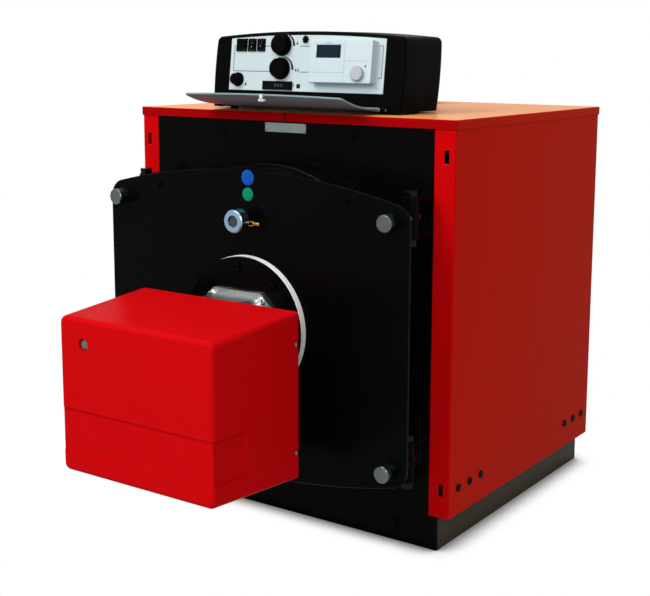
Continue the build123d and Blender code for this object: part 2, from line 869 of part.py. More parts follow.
with BuildPart() as sight_nut:
    with BuildSketch(facing(sight_nut_y)):
        with Locations((0, sight_z)):
            Circle(sight_nut_radius)
    extrude(amount=sight_nut_length)
    chamfer(faces().sort_by(Axis.Y)[0].edges(), sight_nut_edge)
    with BuildSketch(facing(sight_nut_y)):
        with Locations((0, sight_z)):
            Circle(sight_bore)
    extrude(amount=sight_nut_length, mode=Mode.SUBTRACT)
    with BuildSketch(facing(sight_nut_y - sight_nut_length)):
        with Locations((0, sight_z)):
            Circle(lens_radius + fit)
    extrude(amount=-(lens_set_back + lens_thickness), mode=Mode.SUBTRACT)
finish(sight_nut, "sight_nut")

with BuildPart() as sight_lens:
    with BuildSketch(facing(sight_nut_y - sight_nut_length + lens_set_back + lens_thickness)):
        with Locations((0, sight_z)):
            Circle(lens_radius)
    extrude(amount=lens_thickness)
finish(sight_lens, "sight_lens")

with BuildPart() as pressure_nipple:
    nipple_y = door_y - sight_tube_length / 2
    with BuildSketch(Plane.YZ):
        with Locations((nipple_y, sight_z - nipple_drop)):
            Circle(nipple_radius)
    extrude(amount=sight_tube_radius + nipple_length)
    with BuildSketch(Plane.YZ.offset(sight_tube_radius + nipple_length)):
        with Locations((nipple_y, sight_z - nipple_drop)):
            Circle(nipple_tip_radius)
    extrude(amount=nipple_tip)
    with BuildSketch(facing(door_y)):
        with Locations((0, sight_z)):
            Circle(sight_tube_radius)
    extrude(amount=sight_tube_length, mode=Mode.SUBTRACT)
finish(pressure_nipple, "pressure_nipple")

# Feet of the control housing on the top covers
foot_spots = [
    (panel_shift + side * (housing_half_width - foot_side), y)
    for side in (1, -1)
    for y in (housing_y - housing_rake + foot_inset, housing_back_y - housing_rake - foot_inset)
]
with BuildPart() as housing_feet:
    with BuildSketch(Plane.XY.offset(casing_height)):
        with Locations(*foot_spots):
            Circle(foot_radius)
    extrude(amount=foot_height)
finish(housing_feet, "housing_feet")

# Outline shared by the fascia and its seat in the housing
with BuildSketch() as fascia_outline:
    with BuildLine():
        fascia_crown = ThreePointArc(
            (-fascia_half_width, -fascia_bottom),
            (0, fascia_arch - fascia_bottom),
            (fascia_half_width, -fascia_bottom),
        )
        Polyline(
            fascia_crown @ 0,
            (-fascia_half_width, fascia_bottom),
            (fascia_half_width, fascia_bottom),
            fascia_crown @ 1,
        )
    make_face()

# Control housing: moulded box with an arched top and bulged sides, raked, with two lugs for the flap
panel_axis = Axis(panel(0).origin, panel(0).z_dir)
with BuildPart() as control_housing:
    with BuildSketch(facing(housing_y - housing_rake - overrun)) as housing_outline:
        with BuildLine():
            left_side = ThreePointArc(
                (housing_left, housing_z),
                (housing_left - housing_bulge, housing_z + housing_rise / 2),
                (housing_left, housing_z + housing_rise),
            )
            right_side = ThreePointArc(
                (housing_right, housing_z),
                (housing_right + housing_bulge, housing_z + housing_rise / 2),
                (housing_right, housing_z + housing_rise),
            )
            crown = (panel_shift, housing_z + housing_rise + housing_arch)
            ThreePointArc(left_side @ 1, crown, right_side @ 1)
            Line(left_side @ 0, right_side @ 0)
        make_face()
        fillet(housing_outline.vertices().group_by(Axis.Y)[-1], housing_corner)
    extrude(amount=-(housing_depth + 2 * (housing_rake + overrun)))
    split(bisect_by=panel(-fascia_proud), keep=Keep.BOTTOM)
    split(bisect_by=panel(-housing_depth), keep=Keep.TOP)
    fillet(faces().sort_by(panel_axis)[0].edges().filter_by(GeomType.LINE, reverse=True), housing_back_radius)
    fillet(faces().sort_by(panel_axis)[-1].edges().filter_by(GeomType.LINE, reverse=True), housing_edge)
    with BuildSketch(panel(-fascia_proud)):
        add(fascia_outline.sketch)
        offset(amount=fit, kind=Kind.INTERSECTION)
    extrude(amount=-(fascia_sheet - fascia_proud), mode=Mode.SUBTRACT)
    for way in (1, -1):
        with BuildSketch(Plane.YZ.offset(panel_shift + way * (fascia_half_width + flap_play))):
            with Locations((flap_y, flap_z)):
                Circle(flap_lug_radius)
                Rectangle(flap_lug_length, 2 * flap_lug_radius, align=(Align.MIN, Align.CENTER))
                Circle(flap_pin_radius + fit, mode=Mode.SUBTRACT)
        extrude(amount=way * flap_lug_width)
finish(control_housing, "control_housing")

# Panel flap: curved cover on two pins, hanging open, with an arched free edge
flap_line = (
    (flap_y, flap_z),
    (flap_y - flap_reach / 2, flap_z + flap_rise / 2 - flap_bulge),
    (flap_y - flap_reach, flap_z + flap_rise),
)
flap_left = panel_shift - fascia_half_width
flap_right = panel_shift + fascia_half_width
with BuildPart() as panel_flap:
    with BuildSketch(Plane.YZ.offset(panel_shift)):
        with BuildLine():
            flap_under = ThreePointArc(*flap_line)
            flap_over = ThreePointArc(*[(y, z + flap_sheet) for y, z in flap_line])
            Line(flap_under @ 0, flap_over @ 0)
            Line(flap_under @ 1, flap_over @ 1)
        make_face()
        with Locations((flap_y, flap_z)):
            Circle(flap_barrel)
    extrude(amount=fascia_half_width, both=True)
    with BuildSketch(Plane.XY.offset(casing_height)) as flap_outline:
        with BuildLine():
            flap_edge = ThreePointArc(
                (flap_left, flap_y - flap_reach + fascia_arch),
                (panel_shift, flap_y - flap_reach),
                (flap_right, flap_y - flap_reach + fascia_arch),
            )
            Polyline(
                flap_edge @ 0,
                (flap_left, flap_y + flap_barrel),
                (flap_right, flap_y + flap_barrel),
                flap_edge @ 1,
            )
        make_face()
        fillet(flap_outline.vertices().group_by(Axis.Y)[0], flap_corner)
    extrude(amount=housing_rise, mode=Mode.INTERSECT)
    for way in (1, -1):
        with BuildSketch(Plane.YZ.offset(panel_shift + way * fascia_half_width)):
            with Locations((flap_y, flap_z)):
                Circle(flap_pin_radius)
        extrude(amount=way * (flap_play + flap_lug_width))
finish(panel_flap, "panel_flap")

# Fascia: white plate bored for the knob shafts
knob_spots = [(knob_x, knob_upper_rise), (knob_x, knob_lower_rise)]
with BuildPart() as control_fascia:
    with BuildSketch(panel(0)):
        add(fascia_outline.sketch)
        with Locations(*knob_spots):
            Circle(shaft_radius + fit, mode=Mode.SUBTRACT)
    extrude(amount=-fascia_sheet)
finish(control_fascia, "control_fascia")

# Thermostat knobs: skirted discs with a fluted grip and a short shaft
for knob_name, knob_spot in zip(("thermostat_knob_upper", "thermostat_knob_lower"), knob_spots):
    with BuildPart() as knob:
        with BuildSketch(panel(knob_gap)):
            with Locations(knob_spot):
                Circle(knob_radius)
        extrude(amount=knob_skirt)
        with BuildSketch(panel(knob_gap + knob_skirt)):
            with Locations(knob_spot):
                Circle(knob_grip_radius)
                with PolarLocations(knob_grip_radius + knob_flute_radius / 2, knob_flute_count):
                    Circle(knob_flute_radius, mode=Mode.SUBTRACT)
        extrude(amount=knob_grip)
        chamfer(faces().sort_by(panel_axis)[-1].edges(), knob_edge)
        with BuildSketch(panel(knob_gap)):
            with Locations(knob_spot):
                Circle(shaft_radius)
        extrude(amount=-(knob_gap + shaft_length))
    finish(knob, knob_name)

# Room controller: white box on the fascia, with a sunk screen and a bored seat for its dial
screen_x = controller_x - (controller_width - screen_width) / 2 + screen_margin
screen_rise = controller_bottom + controller_height - screen_drop - screen_height / 2
with BuildPart() as controller_unit:
    with BuildSketch(panel(0)):
        with Locations((controller_x, controller_bottom + controller_height / 2)):
            RectangleRounded(controller_width, controller_height, controller_edge)
    extrude(amount=controller_depth)
    fillet(faces().sort_by(panel_axis)[-1].edges(), controller_edge / 2)
    with BuildSketch(panel(controller_depth)):
        with Locations((screen_x, screen_rise)):
            Rectangle(screen_width, screen_height)
    extrude(amount=-screen_inset, mode=Mode.SUBTRACT)
    with BuildSketch(panel(controller_depth)):
        with Locations(dial_spot):
            Circle(shaft_radius + fit)
    extrude(amount=-(shaft_length + fit), mode=Mode.SUBTRACT)
finish(controller_unit, "controller_unit")

with BuildPart() as controller_screen:
    with BuildSketch(panel(controller_depth - screen_inset)):
        with Locations((screen_x, screen_rise)):
            Rectangle(screen_width - 2 * fit, screen_height - 2 * fit)
    extrude(amount=screen_inset / 2)
finish(controller_screen, "controller_screen")

with BuildPart() as controller_dial:
    with BuildSketch(panel(controller_depth + knob_gap)):
        with Locations(dial_spot):
            Circle(dial_radius)
            with PolarLocations(dial_radius, dial_rib_count):
                Circle(dial_rib_radius, mode=Mode.SUBTRACT)
    extrude(amount=dial_height)
    chamfer(faces().sort_by(panel_axis)[-1].edges(), dial_edge)
    with BuildSketch(panel(controller_depth + knob_gap)):
        with Locations(dial_spot):
            Circle(shaft_radius)
    extrude(amount=-(knob_gap + shaft_length))
finish(controller_dial, "controller_dial")

# Rocker switches: a raised frame on the fascia round each tilting key
switches = (
    ("main_rocker", main_switch_x, main_switch_width),
    ("mode_rocker", mode_switch_x, small_switch_width),
    ("test_rocker", test_switch_x, small_switch_width),
)
with BuildPart() as switch_frames:
    for rocker_name, switch_x, switch_width in switches:
        with BuildSketch(panel(0)):
            with Locations((switch_x, switch_rise)):
                Rectangle(switch_width, switch_height)
                Rectangle(
                    switch_width - 2 * switch_border, switch_height - 2 * switch_border, mode=Mode.SUBTRACT
                )
    extrude(amount=switch_depth)
finish(switch_frames, "switch_frames")

rocker_slope = radians(panel_tilt + switch_tilt)
for rocker_name, switch_x, switch_width in switches:
    rocker_width = switch_width - 2 * (switch_border + switch_play)
    rocker_height = switch_height - 2 * (switch_border + switch_play)
    pivot = panel(rocker_ridge + fit).from_local_coords((switch_x, switch_rise, 0))
    rocker_face = Plane(origin=pivot, x_dir=(1, 0, 0), z_dir=(0, -cos(rocker_slope), sin(rocker_slope)))
    with BuildPart(rocker_face) as rocker:
        Box(rocker_width, rocker_height, rocker_thickness, align=(Align.CENTER, Align.CENTER, Align.MIN))
        Cylinder(rocker_ridge, rocker_width, rotation=(0, 90, 0))
    finish(rocker, rocker_name)

# Limit cap and display window at the foot of the fascia
cap_spot = (cap_inset + cap_skirt_radius - fascia_half_width, fascia_bottom + cap_rise)
with BuildPart() as limit_cap:
    with BuildSketch(panel(0)):
        with Locations(cap_spot):
            Circle(cap_skirt_radius)
    extrude(amount=cap_skirt)
    with BuildSketch(panel(cap_skirt)):
        with Locations(cap_spot):
            Circle(cap_radius)
    extrude(amount=cap_height)
    chamfer(faces().sort_by(panel_axis)[-1].edges(), knob_edge)
finish(limit_cap, "limit_cap")

with BuildPart() as display_window:
    with BuildSketch(panel(0)):
        with Locations((knob_x - display_shift, fascia_bottom + display_margin + display_height / 2)):
            Rectangle(display_width, display_height)
    extrude(amount=display_depth)
finish(display_window, "display_window")

for piece in pieces:
    export_step(piece, f"parts/{piece.label}.step")
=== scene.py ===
import json
from math import copysign, cos, pi, radians, sin

import bmesh
import bpy
from mathutils import Matrix, Vector


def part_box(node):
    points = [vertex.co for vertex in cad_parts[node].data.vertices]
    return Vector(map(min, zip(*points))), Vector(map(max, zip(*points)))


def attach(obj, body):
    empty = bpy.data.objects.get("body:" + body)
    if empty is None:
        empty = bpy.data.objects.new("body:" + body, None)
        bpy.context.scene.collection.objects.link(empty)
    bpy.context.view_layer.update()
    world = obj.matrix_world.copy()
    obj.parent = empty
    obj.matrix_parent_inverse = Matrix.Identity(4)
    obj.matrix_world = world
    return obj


bl_info = {
    "name": "Hot-water boiler dressing",
    "version": (1, 0, 0),
    "blender": (4, 5, 0),
    "location": "View3D > Sidebar > Boiler",
    "description": "Finishes, fasteners, print and stage for a boiler with a swing-out burner door",
    "category": "Object",
}

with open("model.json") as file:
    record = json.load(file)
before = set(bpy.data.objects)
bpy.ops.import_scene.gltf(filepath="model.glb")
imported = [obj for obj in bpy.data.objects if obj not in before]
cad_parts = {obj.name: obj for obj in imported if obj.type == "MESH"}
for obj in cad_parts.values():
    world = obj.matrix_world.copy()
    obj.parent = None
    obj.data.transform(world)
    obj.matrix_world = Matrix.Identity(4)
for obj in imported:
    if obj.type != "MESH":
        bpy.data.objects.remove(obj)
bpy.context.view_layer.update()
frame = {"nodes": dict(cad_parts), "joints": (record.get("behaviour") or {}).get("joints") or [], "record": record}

MM = 0.001
FLOOR_LINE = 0.0
RIGHT, LEFT = Vector((1, 0, 0)), Vector((-1, 0, 0))
FORWARD, BACKWARD, UPWARD = Vector((0, -1, 0)), Vector((0, 1, 0)), Vector((0, 0, 1))
JOINTS = {joint["child"]: joint for joint in frame["joints"]}
PANEL_NORMAL = Vector(JOINTS["thermostat_knob_upper"]["axis"]).normalized()
PANEL_UP = PANEL_NORMAL.cross(RIGHT)


def hue(red, green, blue):
    """Linear colour for screen values from 0 to 255."""
    return tuple(((v / 255 + 0.055) / 1.055) ** 2.4 if v > 10 else v / 255 / 12.92 for v in (red, green, blue))


def colour(name, description, red, green, blue):
    return bpy.props.FloatVectorProperty(
        name=name, description=description, subtype="COLOR", size=3, min=0, max=1, default=hue(red, green, blue)
    )


def length(name, description, millimetres):
    return bpy.props.FloatProperty(
        name=name, description=description, default=millimetres * MM, min=0, subtype="DISTANCE", unit="LENGTH"
    )


def amount(name, description, default, top=10.0):
    return bpy.props.FloatProperty(name=name, description=description, default=default, min=0, max=top)


class BoilerFinishes(bpy.types.PropertyGroup):
    """Colours of the boiler's finishes."""

    casing_red: colour("Casing red", "Powder coat of the sheet casing", 196, 6, 10)
    # Painted shade: a darker copy of the casing red for the top cover, which wears the same powder coat
    cover_shaded_red: colour("Cover shaded red", "Powder coat of the top cover", 158, 5, 9)
    hood_red: colour("Hood red", "Moulded burner hood", 198, 9, 14)
    enamel_black: colour("Enamel black", "Stove enamel on the door and the end plates", 5, 5, 5)
    housing_black: colour("Housing black", "Moulded control housing, switches and knobs", 6, 6, 5)
    fascia_white: colour("Fascia white", "Printed film of the fascia", 193, 207, 210)
    controller_white: colour("Controller white", "Moulded room controller", 195, 209, 214)
    flap_grey: colour("Flap grey", "Smoked clear flap of the control panel", 138, 164, 167)
    # Painted reflection: warm tint of the sheet casing on slanting faces
    casing_slant_reflection: colour("Casing slant reflection", "Sheet casing seen at a slant", 212, 40, 14)
    # Painted reflection: warm tint of the top cover on slanting faces
    cover_slant_reflection: colour("Cover slant reflection", "Top cover seen at a slant", 228, 47, 15)
    # Painted reflection: pale tint on casing faces seen nearly along their plane, for the white surroundings mirrored
    # there
    casing_grazing_reflection: colour("Casing grazing reflection", "Sheet casing seen along its face", 246, 160, 92)
    # Painted reflection: brownish tint of the base rails on slanting faces
    base_slant_reflection: colour("Base slant reflection", "Base rails seen at a slant", 72, 64, 48)
    screen_blue: colour("Screen", "Dark display of the controller", 21, 36, 47)
    gasket_white: colour("Gasket white", "Board gasket behind the burner plate", 250, 249, 245)
    zinc: colour("Zinc", "Zinc plate on bolts and nuts", 93, 100, 101)
    blue_zinc: colour("Blue zinc", "Blue passivated zinc on the sight glass nut", 139, 168, 190)
    brass: colour("Brass", "Pressure nipple", 214, 168, 82)
    casting: colour("Casting", "Raw aluminium of the burner flange", 170, 174, 174)
    ink_grey: colour("Grey ink", "Frame lines printed on the fascia", 92, 100, 104)
    ink_black: colour("Black ink", "Scales printed round the knobs", 12, 12, 13)
    disc_blue: colour("Blue disc", "Upper disc on the door", 18, 78, 170)
    disc_green: colour("Green disc", "Lower disc on the door", 10, 132, 92)


class BoilerTrim(bpy.types.PropertyGroup):
    """Sizes of the small pieces that the scene adds."""

    sheet_screw: length("Sheet screw", "Head diameter of the casing screws", 11)
    cap_screw: length("Cap screw", "Head diameter of the burner plate's socket screws", 14)
    cap_circle: length("Cap screw circle", "Radius of the circle of socket screws", 112)
    flange_bolt: length("Flange bolt", "Width across flats of the burner flange's bolts", 13)
    hood_screw: length("Hood screw", "Head diameter of the hood's side screws", 9)
    smoke_nut: length("Smoke box nut", "Width across flats of the smoke box nuts", 13)
    blue_disc: length("Blue disc", "Diameter of the upper disc on the door", 29)
    green_disc: length("Green disc", "Diameter of the lower disc on the door", 25)
    plate_width: length("Blank plate width", "Width of the blank plate on the front plate", 98)
    plate_height: length("Blank plate height", "Height of the blank plate on the front plate", 18)
    print_line: length("Print line", "Width of the frame lines on the fascia", 1.5)
    weld_bead: length("Weld bead", "Width of one weld ripple", 5)


class BoilerStage(bpy.types.PropertyGroup):
    """Light levels and the floor."""

    sky: amount("Sky", "Level of the soft light from all round", 0.33)
    key: amount("Key lamp", "Power of the lamp above the front left", 70, 1000)
    fill: amount("Fill lamp", "Power of the lamp at the front right", 46, 1000)
    top: amount("Top lamp", "Power of the lamp overhead", 26, 1000)
    floor_size: length("Floor size", "Side of the square floor", 40000)
    shadow_reach: length("Shadow reach", "How far the soft shadow spreads on the floor", 65)


# Node helpers


def feed(tree, made, inputs):
    """Links or sets a node's inputs, which are named or counted."""
    for socket, value in dict(inputs).items():
        if isinstance(value, bpy.types.NodeSocket):
            tree.links.new(value, made.inputs[socket])
        else:
            made.inputs[socket].default_value = value


def node(tree, kind, feeds=(), **settings):
    """A node with its settings made and its inputs fed."""
    made = tree.nodes.new(kind)
    for name, value in settings.items():
        setattr(made, name, value)
    feed(tree, made, feeds)
    return made


def maths(tree, operation, *values, clamp=False):
    return node(tree, "ShaderNodeMath", enumerate(values), operation=operation, use_clamp=clamp).outputs[0]


def vectors(tree, operation, *values):
    return node(tree, "ShaderNodeVectorMath", enumerate(values), operation=operation).outputs


def spread(tree, value, low, high, to_low=0.0, to_high=1.0):
    """Value mapped smoothly from one range to another."""
    feeds = {"Value": value, "From Min": low, "From Max": high, "To Min": to_low, "To Max": to_high}
    return node(tree, "ShaderNodeMapRange", feeds, interpolation_type="SMOOTHSTEP").outputs[0]


def blend(tree, factor, first, second):
    """Colour between two colours."""
    return node(tree, "ShaderNodeMix", {0: factor, 6: first, 7: second}, data_type="RGBA").outputs[2]


def place_of(tree):
    """Object coordinates of the place that is shaded."""
    return node(tree, "ShaderNodeTexCoord").outputs["Object"]


def axes_of(tree, vector):
    return node(tree, "ShaderNodeSeparateXYZ", {0: vector}).outputs


def noise(tree, scale, detail, rough=0.5, vector=None):
    if vector is None:
        vector = place_of(tree)
    feeds = {"Vector": vector, "Scale": scale, "Detail": detail, "Roughness": rough}
    return node(tree, "ShaderNodeTexNoise", feeds).outputs[0]


# Shared shader groups


def peel_nodes(group, given):
    """Coat surface: a fine peel for the bump and a slow haze for the gloss."""
    haze = noise(group, given["Haze Scale"], 5, 0.62)
    return {"Peel": noise(group, given["Peel Scale"], 1.5), "Haze": spread(group, haze, 0.32, 0.68)}


def edge_nodes(group, given):
    """Edges: a mask that is 1 where the coat has rubbed thin on an outside edge."""
    bevel = node(group, "ShaderNodeBevel", {"Radius": given["Width"]}, samples=4).outputs[0]
    flat = node(group, "ShaderNodeNewGeometry").outputs["Normal"]
    edge = spread(group, vectors(group, "DOT_PRODUCT", bevel, flat)["Value"], 0.985, 0.8)
    patch = spread(group, noise(group, given["Breakup Scale"], 4), 0.5, 0.68)
    return {"Rub": maths(group, "MULTIPLY", edge, patch)}


def dust_nodes(group, given):
    """Dust: a mask that is thickest on upward faces, in soft patches."""
    normal = node(group, "ShaderNodeNewGeometry").outputs["Normal"]
    level = spread(group, axes_of(group, normal)["Z"], 0.2, 0.95)
    patch = spread(group, noise(group, given["Patch Scale"], 6, 0.6), 0.35, 0.75)
    return {"Dust": maths(group, "MULTIPLY", level, patch)}


def streak_nodes(group, given):
    """Tool marks: fine streaks along X, and a slow stain."""
    place, across = place_of(group), given["Fine"]
    along = maths(group, "DIVIDE", across, given["Stretch"])
    scale = node(group, "ShaderNodeCombineXYZ", {0: along, 1: across, 2: across}).outputs[0]
    drawn = vectors(group, "MULTIPLY", place, scale)["Vector"]
    stain = noise(group, 35.0, 5, 0.6, place)
    return {"Streak": noise(group, 1.0, 3, 0.6, drawn), "Stain": spread(group, stain, 0.35, 0.7)}


def grain_nodes(group, given):
    """Moulded or cast grain: small cells for the bump, with a slow mottle."""
    feeds = {"Vector": place_of(group), "Scale": given["Cell Scale"]}
    cells = node(group, "ShaderNodeTexVoronoi", feeds, feature="SMOOTH_F1").outputs["Distance"]
    mottle = noise(group, given["Mottle Scale"], 6, 0.6)
    return {"Grain": cells, "Mottle": spread(group, mottle, 0.3, 0.7)}


GROUP_PLANS = {
    "coat_peel": (peel_nodes, {"Peel Scale": 420, "Haze Scale": 7}, ("Peel", "Haze")),
    "edge_rub": (edge_nodes, {"Width": 0.0015, "Breakup Scale": 90}, ("Rub",)),
    "settled_dust": (dust_nodes, {"Patch Scale": 9}, ("Dust",)),
    "tool_marks": (streak_nodes, {"Fine": 900, "Stretch": 14}, ("Streak", "Stain")),
    "surface_grain": (grain_nodes, {"Cell Scale": 1400, "Mottle Scale": 20}, ("Grain", "Mottle")),
}
GROUPS = {}


def make_group(name):
    """A shader group of float sockets, with the nodes of its plan."""
    build, inputs, outputs = GROUP_PLANS[name]
    group = bpy.data.node_groups.new(name, "ShaderNodeTree")
    for socket, default in inputs.items():
        made = group.interface.new_socket(socket, in_out="INPUT", socket_type="NodeSocketFloat")
        made.default_value = default
    for socket in outputs:
        group.interface.new_socket(socket, in_out="OUTPUT", socket_type="NodeSocketFloat")
    node(group, "NodeGroupOutput", build(group, node(group, "NodeGroupInput").outputs))
    return group


def group_node(tree, name, **values):
    """A shared shader group placed in a material with its own values."""
    if name not in GROUPS:
        GROUPS[name] = make_group(name)
    feeds = {socket.replace("_", " ").title(): value for socket, value in values.items()}
    return node(tree, "ShaderNodeGroup", feeds, node_tree=GROUPS[name]).outputs


# Finishes

SPECULAR = "Specular IOR Level"
COAT_EDGE = 0.0008
METAL_EDGE = 0.0005
DUST_TINT = (0.45, 0.43, 0.4, 1)
FIBRE_PAINT = 4 * MM


def start_material(name, fixed):
    """A material with only a Principled shader, some of whose inputs are set."""
    material = bpy.data.materials.new(name)
    material.use_nodes = True
    tree = material.node_tree
    shader = tree.nodes["Principled BSDF"]
    feed(tree, shader, fixed)
    return material, tree, shader


def dress(tree, shader, shown, rough, height, depth, rounded=0.0):
    """Colour, roughness and a bump of a depth in metres, over an edge that looks rounded by a radius."""
    feeds = {"Height": height, "Strength": 1.0, "Distance": depth}
    if rounded:
        feeds["Normal"] = node(tree, "ShaderNodeBevel", {"Radius": rounded}, samples=4).outputs[0]
    normal = node(tree, "ShaderNodeBump", feeds).outputs[0]
    feed(tree, shader, {"Base Color": shown, "Roughness": rough, "Normal": normal})


def wide(tint, share=1.0):
    """Colour with its alpha, made lighter or darker by a share."""
    return (*[min(1.0, part * share) for part in tint], 1.0)


def mottled(tree, mask, tint, change=0.015):
    """Tint that turns a little darker and lighter by a mask."""
    return blend(tree, mask, wide(tint, 1 - change), wide(tint, 1 + change))


def coat(name, tint, gloss, peel, depth, rub, specular, dust=0.0, glance=(), bands=()):
    """Painted sheet or plate: peel, haze, rubbed edges and a little dust.

    A glance is a painted reflection: a tint for slanting faces with its start and end; a band is an axis, a limit and
    a tint within it.
    """
    material, tree, shader = start_material(name, {SPECULAR: specular})
    surface = group_node(tree, "coat_peel", peel_scale=peel)
    shown = mottled(tree, surface["Haze"], tint)
    # Painted reflections: tints blended in by how slanting the face is to the eye
    for other, start, end in glance:
        slant = node(tree, "ShaderNodeLayerWeight", {"Blend": 0.5}).outputs["Facing"]
        shown = blend(tree, spread(tree, slant, start, end), shown, wide(other))
    # Bands paint black within a limit: the rear plate's black foot, and painted shade in the top cover's seam
    for axis, limit, other in bands:
        level = maths(tree, "ABSOLUTE", axes_of(tree, place_of(tree))[axis])
        shown = blend(tree, maths(tree, "LESS_THAN", level, limit), shown, wide(other))
    rough = spread(tree, surface["Haze"], 0.0, 1.0, *gloss)
    if dust:
        settled = maths(tree, "MULTIPLY", group_node(tree, "settled_dust")["Dust"], dust)
        shown = blend(tree, settled, shown, DUST_TINT)
        rough = maths(tree, "ADD", rough, maths(tree, "MULTIPLY", settled, 0.5), clamp=True)
    worn = maths(tree, "MULTIPLY", group_node(tree, "edge_rub")["Rub"], rub[1])
    dress(tree, shader, blend(tree, worn, shown, wide(rub[0])), rough, surface["Peel"], depth, COAT_EDGE)
    return material


def moulding(name, tint, gloss, cells, depth, rounded, specular, mottle=20):
    """Moulded plastic: fine spark grain, slow mottle and rounded edges."""
    material, tree, shader = start_material(name, {SPECULAR: specular})
    surface = group_node(tree, "surface_grain", cell_scale=cells, mottle_scale=mottle)
    rough = spread(tree, surface["Mottle"], 0.0, 1.0, *gloss)
    dress(tree, shader, mottled(tree, surface["Mottle"], tint), rough, surface["Grain"], depth, rounded)
    return material


def metal(name, tint, gloss, fine, stretch, depth, stain, dark):
    """Bare or plated metal: tool marks, stains and a soft edge."""
    material, tree, shader = start_material(name, {"Metallic": 1.0})
    surface = group_node(tree, "tool_marks", fine=fine, stretch=stretch)
    shown = blend(tree, maths(tree, "MULTIPLY", surface["Stain"], stain), wide(tint), wide(tint, dark))
    rough = spread(tree, surface["Stain"], 0.0, 1.0, *gloss)
    dress(tree, shader, shown, rough, surface["Streak"], depth, METAL_EDGE)
    return material


def mill_steel():
    """Bare dark steel of the vessel, with scale and rust freckles."""
    material, tree, shader = start_material("mill_steel", {SPECULAR: 0.4})
    scale = group_node(tree, "tool_marks", fine=260, stretch=5)
    freckle = spread(tree, noise(tree, 60.0, 8, 0.7), 0.56, 0.7)
    shown = blend(tree, scale["Stain"], (0.055, 0.056, 0.06, 1), (0.13, 0.13, 0.14, 1))
    shown = blend(tree, maths(tree, "MULTIPLY", freckle, 0.6), shown, (0.16, 0.07, 0.035, 1))
    feed(tree, shader, {"Metallic": spread(tree, freckle, 0.0, 1.0, 0.55, 0.1)})
    dress(tree, shader, shown, spread(tree, scale["Stain"], 0.0, 1.0, 0.42, 0.68), scale["Streak"], 4e-5)
    return material


def refractory():
    """Pale fibre block with matted fibres, painted over where it meets the door plate."""
    material, tree, shader = start_material("refractory_fibre", {SPECULAR: 0.15})
    surface = group_node(tree, "surface_grain", cell_scale=260, mottle_scale=9)
    fibre = noise(tree, 700.0, 4, 0.7)
    shown = blend(tree, surface["Mottle"], (0.55, 0.5, 0.41, 1), (0.74, 0.7, 0.62, 1))
    shown = blend(tree, spread(tree, fibre, 0.4, 0.7, 0.0, 0.5), shown, (0.42, 0.37, 0.3, 1))
    depth = axes_of(tree, place_of(tree))["Y"]
    painted = maths(tree, "LESS_THAN", depth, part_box("door_insulation")[0].y + FIBRE_PAINT)
    shown = blend(tree, painted, shown, (0.002, 0.002, 0.002, 1))
    dress(tree, shader, shown, 0.92, maths(tree, "ADD", surface["Grain"], fibre), 6e-4)
    return material


def woven_rope():
    """Graphited sealing rope: a plaited weave round the ring."""
    material, tree, shader = start_material("woven_rope", {SPECULAR: 0.15})
    low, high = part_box("door_seal")
    shifted = vectors(tree, "SUBTRACT", place_of(tree), (low + high) / 2)["Vector"]
    axes = axes_of(tree, shifted)
    turn = maths(tree, "MULTIPLY", maths(tree, "ARCTAN2", axes["X"], axes["Z"]), 420.0)
    out = maths(tree, "MULTIPLY", vectors(tree, "LENGTH", shifted)["Value"], 900.0)
    weave = maths(tree, "MAXIMUM", *[maths(tree, "SINE", maths(tree, way, turn, out)) for way in ("ADD", "SUBTRACT")])
    grime = group_node(tree, "surface_grain", cell_scale=900, mottle_scale=14)
    shown = blend(tree, spread(tree, weave, -0.6, 0.9), (0.008, 0.008, 0.008, 1), (0.035, 0.035, 0.034, 1))
    shown = blend(tree, maths(tree, "MULTIPLY", grime["Mottle"], 0.35), shown, (0.02, 0.019, 0.018, 1))
    dress(tree, shader, shown, 0.9, weave, 5e-4)
    return material


def glass(name, through, bend, specular, peel, haze, tones, gloss):
    """Dark or smoked clear sheet with a faint film on it."""
    fixed = {"Transmission Weight": through, "IOR": bend, SPECULAR: specular}
    material, tree, shader = start_material(name, fixed)
    surface = group_node(tree, "coat_peel", peel_scale=peel, haze_scale=haze)
    rough = spread(tree, surface["Haze"], 0.0, 1.0, *gloss)
    dress(tree, shader, blend(tree, surface["Haze"], *tones), rough, surface["Peel"], 1e-6)
    return material


def display_glass(tint):
    """Dark display behind a clear face, with its fine dot rows."""
    material, tree, shader = start_material("display_glass", {SPECULAR: 0.06})
    feeds = {"Vector": place_of(tree), "Scale": 1800.0}
    rows = node(tree, "ShaderNodeTexVoronoi", feeds, distance="CHEBYCHEV").outputs["Distance"]
    shown = mottled(tree, spread(tree, rows, 0.2, 0.5), tint, -0.15)
    surface = group_node(tree, "coat_peel", peel_scale=500, haze_scale=60)
    dress(tree, shader, shown, spread(tree, surface["Haze"], 0.0, 1.0, 0.12, 0.24), surface["Peel"], 1e-6)
    return material


MATERIALS = {}


